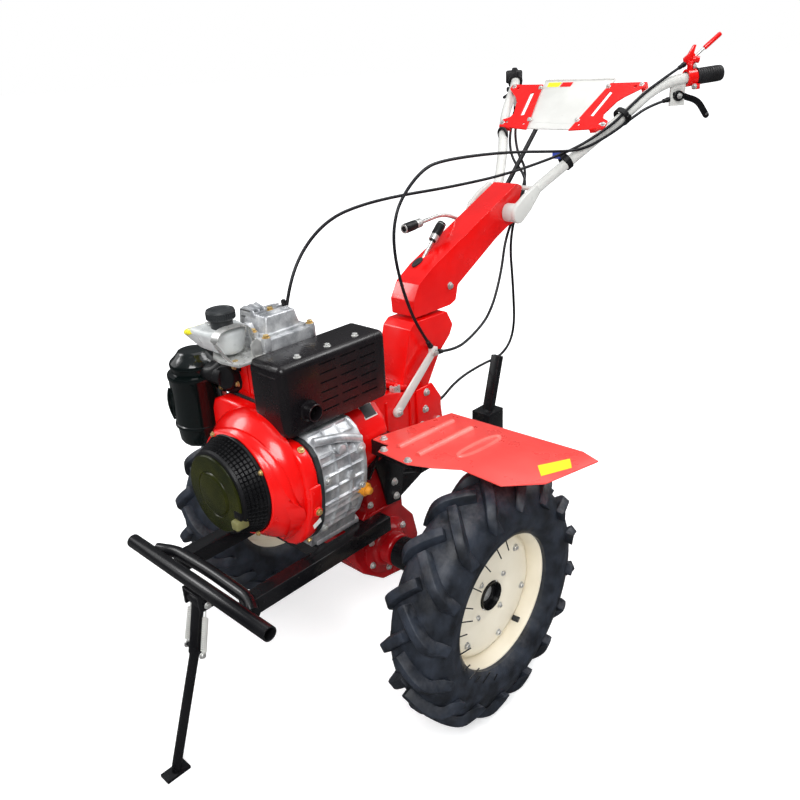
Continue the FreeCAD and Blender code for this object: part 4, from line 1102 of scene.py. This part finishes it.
def makeGearLevers():
    fit(softened("gear_levers", 0.8), steel, "column", "gear_levers")
    shift = Vector((0, 28, 26)).normalized()
    knobs = [turned("knob", (-15, 254, 798), shift, [(radius, reach * 1.3) for radius, reach in knobSteps], 28)]
    knobs.append(turned("knob", (-40, 246, 832), (0, -48, -4), [(radius, reach * 1.62)
        for radius, reach in knobSteps], 28))
    fitWhole("leverKnobs", knobs, blackPlastic, "column")
    tops = turned("knobTop", (-15, 254, 798), shift, ((6, 39), (8.4, 39.4), (9.0, 41), (8, 42.6), (0.4, 43)),
        28)
    fit(smooth(tops), darkGrey, "column")


makeGearCase()
makeClutchArm()
makeFenders()
makeColumn()
makeGearLevers()
print("gear case, fenders and column")


# handlebar
handleEnd = Vector((268, 893, 1071))
handleAlong = Vector((78, 110, 11)).normalized()


def alongGrip(reach, drop=0.0):
    # a place on the left grip's axis, measured back from the tube's end
    place = handleEnd - handleAlong * reach
    return (place.x, place.y, place.z - drop)


def makeGrips():
    steps = [(13.2, -56.5), (18.2, -56.5), (18.6, -55.5), (18.6, -53), (18.2, -52), (16, -51.4)]
    for ridge in range(9):
        start = -50 + 5.4 * ridge
        steps += [(16, start), (16.9, start + 0.8), (16.9, start + 3.2), (16, start + 4)]
    steps += [(16.4, 1.5), (15.4, 3.6), (12, 4.4), (0.4, 4.4)]
    grip = turned("gripLeft", alongGrip(0), handleAlong, steps, 36)
    fitPair(smooth(grip, 30), gripRubber, "handlebar", "grips")


def makeClamps():
    collar = turned("collar", alongGrip(0), handleAlong, ((13.2, -79), (17, -79), (18, -78), (18, -58.6),
        (17, -57.4), (13.2, -57.4)), 40)
    x, y, z = alongGrip(68)
    place, other = (x, y, z), (-x, y, z)
    corners = near(place, (-5, -11, 10), (-5, 9, 10), (-5, 8, 26), (-5, 1, 33), (-5, -7, 33), (-5, -11, 24))
    lug = plate("lug", corners, (11, 0, 0), 2.2, 3)
    ear = block("ear", *near(place, (8, -9, -24), (22, 7, -12)), 2.5)
    clamp = smooth(joined("clampLeft", [collar, lug, ear]))
    fitPair(clamp, red, "handlebar", "lever_clamps", right=blackPlastic)
    housing = block("switchHousing", *near(other, (-21, -15, -4), (15, 13, 27)), 5.0, 3)
    route = near(other, (2, -6, -2), (12, -22, -14), (20, -52, -26), (26, -84, -32))
    trigger = drawn("trigger", route, radius=3.6)
    fitWhole("rightSwitch", [housing, trigger], blackPlastic, "handlebar")
    fit(bolts("clampBolts", [((x + 7, y, z + 22), (1, 0, 0)), ((-x - 7, y, z + 22), (-1, 0, 0)),
        ((x + 15, y - 9, z - 18), (0, -1, 0))], 0.8), steel, "handlebar")


throttle = {"foot": (228, 838, 1096), "end": (268, 882, 1150)}


def makeThrottle():
    foot = throttle["foot"]
    corners = near(foot, (-12, -8, -6), (6, 6, -6), (10, 9, 8), (3, 4, 18), (6, 6, 34), (1, 2, 34),
        (-7, -4, 16), (-14, -10, 8))
    casing = plate("casing", corners, (-4, 6, 0), 1.2)
    nose = bar("nose", *near(foot, (2, -1, 6), (14, 8, 4)), 7, 1.5)
    fitWhole("throttleCasing", [casing, nose], red, "handlebar", "throttle_lever")
    start, end = Vector(near(foot, (0, 3, 6))[0]), Vector(throttle["end"])
    rod = bar("throttleRod", start, end, 2.6, 0.4, 16)
    fit(smooth(rod), steel, "handlebar", "throttle_lever")
    half = start + (end - start) * 0.42
    length = (end - half).length
    steps = ((2.7, 0), (4.4, 0.4), (4.8, 2), (4.8, length - 3), (4, length - 0.8), (0.4, length - 0.6))
    sleeve = turned("throttleSleeve", half, end - half, steps, 20)
    fit(smooth(sleeve), red, "handlebar", "throttle_lever")


def makeHandLevers():
    heading = Vector((0.577, 0.817, 0))
    pivot = Vector((213, 815, 1030))
    route = [pivot + heading * reach + Vector((0, 0, drop)) for reach, drop in ((-12, 2), (6, 3), (22, -4),
        (40, -9), (54, -17), (66, -33), (74, -44))]
    blade = drawn("blade", route, section=((-3.2, -6.4), (3.2, -6.4), (3.8, 0), (3.2, 6.4), (-3.2, 6.4),
        (-3.8, 0)), steps=8)
    hub = bar("hub", pivot - Vector((9, -6.4, 0)), pivot + Vector((9, -6.4, 0)), 11, 2.0)
    ball = turned("tip", route[-1] - Vector((3, 4, -3)), (0.5, 0.7, -0.5),
        ((0.4, 0), (4, 0.8), (6, 3), (6.6, 6), (6, 9), (4, 11), (0.4, 12)), 20)
    lever = smooth(joined("handLeverLeft", [roundEdges(blade, 1.2, 2, 40), hub, ball]))
    fitPair(lever, blackPaint, "handlebar", "hand_levers")
    fit(bolts("leverPins", [(pivot + Vector((9.2, -6.5, 0)), (0.817, -0.577, 0)),
        ((-pivot.x - 9.2, pivot.y - 6.5, pivot.z), (-0.817, -0.577, 0))], 0.8), steel, "handlebar")


def makeTubes():
    fit(softened("handle_tubes", 0.9), silver, "handlebar", "handle_tubes")
    y, z = 444, 826
    caps = []
    for hand in (1, -1):
        caps.append(turned("pivotCap", (0, y, z), (hand, 0, 0), ((10, 55.6), (18.4, 56), (18.8, 57),
            (17.4, 58.4), (9, 58.8), (8, 57.6), (0.4, 57.6)), 36))
    fitWhole("pivotCaps", caps, silver, "handlebar")
    lugs = []
    run = Vector((0, 144, 88)).normalized()
    rise = Vector((0, -run.z, run.y))
    for hand in (1, -1):
        start = Vector((hand * 54.5, y, z))
        turns = [math.pi * (index / 8 - 0.5) for index in range(9)]
        ring = [start - run * 21 * math.cos(turn) + rise * 21 * math.sin(turn) for turn in turns]
        ring += [start + run * along + rise * up for along, up in ((34, 20), (78, 12), (78, -12), (34, -20))]
        lugs.append(plate("socket", ring, (hand * 11, 0, 0), 3.0, 3))
    fitWhole("tubeSockets", lugs, silver, "handlebar")
    flag = plate("lockLever", ((50, 452, 808), (50, 462, 804), (50, 470, 822), (50, 468, 842), (50, 462, 832),
        (50, 454, 818)), (6, 0, 0), 1.4)
    fit(smooth(flag), red, "handlebar")


panel = {"slope": math.radians(37.6), "foot": (645, 978)}
panelNormal = Vector((0, -math.sin(panel["slope"]), math.cos(panel["slope"])))


def onPanel(x, y, lift=0.0):
    # a place on the sloping panel, from where it lies seen from above
    foot, height = panel["foot"]
    return Vector((x, y, height + (y - foot) * math.tan(panel["slope"]))) + panelNormal * lift


def panelPlate(name, corners, lift, depth, width=0.0):
    return plate(name, [onPanel(x, y, lift) for x, y in corners], panelNormal * depth, width)


def makePanel():
    sheet = panelPlate("panel", ((-62, 641), (62, 641), (92, 765), (-92, 765)), -4.0, 3.4, 0.8)
    pad = panelPlate("pad", ((-50, 655), (50, 655), (74, 752), (-74, 752)), -0.8, 0.7, 0.3)
    brow = drawn("brow", [onPanel(x, 764, 0) for x in (-90, -30, 30, 90)], radius=2.2, straight=True)
    fitWhole("controlPanel", [sheet, pad, brow], panelPale, "handlebar", "control_panel")
    for name, corners, finish in (("yellowPatch", ((-74, 746), (-44, 746), (-41, 757), (-76, 757)), yellow),
            ("redPatch", ((-40, 746), (-12, 746), (-11, 757), (-38, 757)), red)):
        fit(panelPlate(name, corners, 0.1, 0.5), finish, "handlebar", slot="panel_paint")
    outline = ((55, 636), (104, 640), (136, 644), (136, 660), (121, 666), (117, 676), (130, 706), (142, 718),
        (174, 740), (174, 752), (88, 751))
    side = [panelPlate("side", outline, 0.0, 2.6)]
    cutBy(side[0], [panelPlate("slotCut", ((86, 672), (95, 670), (107, 728), (98, 731)), -2.0, 8.0),
        *[bar("holeCut", onPanel(x, y, -8), onPanel(x, y, 8), radius)
        for x, y, radius in ((122, 654, 4), (152, 742, 4), (72, 650, 3))]])
    side.append(panelPlate("fold", ((88, 749), (174, 750), (174, 752.4), (88, 751.4)), -9.0, 11.0, 0.6))
    side.append(panelPlate("hem", ((104, 638.6), (136, 642.6), (136, 645), (104, 641)), -8.0, 10.0, 0.6))
    side += [panelPlate("post", ((x - 5, y - 5), (x + 5, y - 5), (x + 5, y + 5), (x - 5, y + 5)), -17.8, 18.0,
        0.8) for x, y in ((131, 651), (169, 746))]
    fitPair(smooth(joined("sidePlateLeft", side)), red, "handlebar", "panel_brackets")
    spots = [(onPanel(hand * x, y, 2.6), (0, -0.61, 0.79)) for hand in (1, -1)
        for x, y in ((131, 651), (165, 746), (62, 660), (88, 742))]
    fit(bolts("panelBolts", spots, 0.75), steel, "handlebar")
    stay = drawn("panelStay", ((-30, 524, 864), (-34, 587, 918.5), (-38, 650, 973)), radius=5.2, straight=True)
    fit(smooth(stay), blackPaint, "handlebar", "panel_stay")


def makeClips():
    bands = []
    for centre, along, radius, half in (((154, 686, 998), (36, 97, 65), 19.5, 6),
            ((80, 588, 914), (53, 90, 70), 18.6, 7)):
        aim = Vector(along).normalized()
        bands.append(turned("band", centre, aim, ((radius - 4, -half), (radius - 1, -half), (radius, -half + 1),
            (radius, half - 1), (radius - 1, half), (radius - 4, half), (radius - 4, -half)), 32))
        side = aim.cross(Vector((0, 0, 1))).normalized()
        foot = Vector(centre) + side * radius
        bands.append(bar("buckle", foot - side * 3, foot + side * 5, 5, 1.0, 8))
    hook = drawn("hook", ((-127, 641, 930), (-112, 637, 946), (-107, 634, 962), (-115, 634, 974),
        (-129, 636, 974), (-137, 640, 962), (-134, 644, 950)), radius=3.4)
    fitWhole("cableClips", bands + [hook], blackPlastic, "handlebar", "cable_clips")
    tag = block("clipTag", (54, 574, 920), (76, 586, 936), 2.0)
    fit(tag, blue, "handlebar")


makeGrips()
makeClamps()
makeThrottle()
makeHandLevers()
makeTubes()
makePanel()
makeClips()
print("handlebar")


# control cables, each split where one joint hands over to the next
cableWidth = 6.0
cables = (
    {"name": "mainClutch",
     "upper": ((203, 801, 1024), (186, 748, 1016), (172, 688, 992), (150, 652, 966), (114, 602, 938),
               (82, 556, 938), (60, 395, 955)),
     "split": (60, 295.5, 959),
     "lower": ((60, 196, 963), (60, 140, 950), (60, 85, 909), (60, 66, 869), (60, 63, 826), (60, 74, 769),
               (60, 97, 706), (56, 125, 660), (54, 160, 612)),
     "bend": ((82, 556, 938), (60, 300, 958)), "swivel": ((60, 90, 930), (60, 90, 690))},
    {"name": "throttle",
     "upper": ((222, 824, 1094), (186, 746, 1053), (165, 688, 1013), (152, 652, 985), (118, 602, 952),
               (74, 572, 928), (45, 417, 907)),
     "split": (32.5, 343.5, 904.5),
     "lower": ((20, 270, 902), (-10, 155, 901), (-30, 74, 895), (-40, 8, 882), (-40, -55, 847),
               (-40, -98, 792), (-40, -112, 744)),
     "bend": ((74, 572, 928), (36, 350, 905)), "swivel": ((10, 240, 902), (-40, -30, 866))},
    {"name": "rearClutch",
     "upper": ((-188, 800, 1022), (-134, 684, 980), (-78, 604, 916), (-4, 566, 880), (0, 542, 836)),
     "split": (4, 506, 803),
     "lower": ((8, 470, 770), (11, 450, 690), (18, 401, 612), (26, 330, 584), (40, 250, 576), (54, 178, 598)),
     "bend": ((-70, 600, 912), (4, 508, 806)), "swivel": ((8, 468, 762), (30, 320, 588))},
    {"name": "gearStop",
     "upper": ((-176, 800, 1022), (-122, 684, 984), (-66, 614, 926), (-14, 580, 894), (-12, 556, 840)),
     "split": (-10, 531, 798),
     "lower": ((-8, 506, 756), (-12, 528, 640), (-22, 550, 520), (-32, 516, 468), (-34, 430, 470),
               (-34, 338, 460), (-34, 270, 424), (-30, 188, 440)),
     "bend": ((-60, 610, 922), (-10, 533, 802)), "swivel": ((-9, 508, 752), (-34, 380, 466))},
)


def centreline(route):
    # the smooth line of a route, point by point, in metres
    carrier = curveAlong("line", route, 8)
    line = bpy.data.meshes.new_from_object(carrier)
    bpy.data.objects.remove(carrier)
    return [tuple(vertex.co) for vertex in line.vertices]


def makeCables():
    for cable in cables:
        for part, route, bodies, (start, end) in (
                ("Upper", cable["upper"] + (cable["split"],), ("handlebar", "column"), cable["bend"]),
                ("Lower", (cable["split"],) + cable["lower"], ("column", "chassis"), cable["swivel"])):
            piece = drawn(cable["name"] + part, route, radius=cableWidth / 2, sides=4, steps=8)
            line = centreline(route)
            piece.data.materials.append(sheath)
            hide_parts("cables_" + part.lower())
            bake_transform(smooth(piece, 50))


ferrules = (((203, 801, 1024), (17, 53, 8), "handlebar"), ((222, 824, 1094), (36, 78, 41), "handlebar"),
    ((-188, 800, 1022), (-54, 116, 42), "handlebar"), ((-176, 800, 1022), (-54, 116, 38), "handlebar"),
    ((54, 160, 612), (2, -35, 48), "chassis"), ((54, 178, 598), (-14, 72, -22), "chassis"),
    ((-40, -112, 744), (0, -14, 48), "chassis"))
ferruleSteps = ((2.6, 20), (4.2, 19), (4.6, 17), (4.6, 9), (5.6, 8), (5.6, 3), (3, 0), (0.4, 0))


def makeFerrules():
    for index, (place, along, body) in enumerate(ferrules):
        back = -1 if body == "handlebar" else 1
        sleeve = turned("ferrule%d" % index, place, Vector(along) * back, ferruleSteps, 16)
        fit(smooth(sleeve), blackPlastic, body)


makeCables()
makeFerrules()
print("cables")


# stand
spring = {"turns": 15, "points": 120, "radius": 4.6, "wire": 1.25, "hook": 1.4,
    "ends": ((22, -401, 298), (25, -421, 222))}


def makeStand():
    fit(softened("stand_leg", 1.2), blackPaint, "stand", "stand_leg")
    spots = [((hand * x, y, z), (hand, 0, 0)) for x, y, z in ((28.4, -398, 316), (22.5, -421, 222))
        for hand in (1, -1)]
    fit(bolts("standBolts", spots, 0.9), steel, "stand")
    across = Vector((1, 0, 0))
    for hand, name in ((1, "standSpringLeft"), (-1, "standSpringRight")):
        start, end = [Vector((hand * x, y, z)) for x, y, z in spring["ends"]]
        reach = end - start
        along = reach.normalized()
        side = along.cross(across)
        coil = []
        for index in range(spring["points"] + 1):
            share = index / spring["points"]
            turn = 2 * math.pi * spring["turns"] * share
            around = across * math.cos(turn) + side * math.sin(turn)
            coil.append(start + reach * (0.1 + 0.8 * share) + spring["radius"] * around)
        pieces = [drawn("springCoil", coil, radius=spring["wire"], sides=1, steps=2)]
        for low, high in ((start - along * 4, start + reach * 0.12), (start + reach * 0.88, end + along * 3)):
            pieces.append(bar("hook", low, high, spring["hook"], 0.3, 10))
        piece = smooth(joined(name, pieces))
        piece.data.materials.clear()
        piece.data.materials.append(silver)
        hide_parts("stand_springs")
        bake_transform(piece)


makeStand()
print("stand")


# sheet and tube parts whose shape only needs its corners eased
eased = (
    ("engine_frame", 1.6, blackPaint), ("bumper", 1.0, blackPaint), ("stand_bracket", 1.2, blackPaint),
    ("cylinder_block", 0.8, aluminium), ("intake_elbow", 1.0, blackPlastic),
    ("fender_brackets", 1.2, blackPaint), ("hitch_frame", 1.6, blackPaint), ("depth_bar", 1.2, blackPaint),
)
for node, width, material in eased:
    fit(softened(node, width), material, "depth_bar" if node == "depth_bar" else "chassis", node)
print("eased parts")
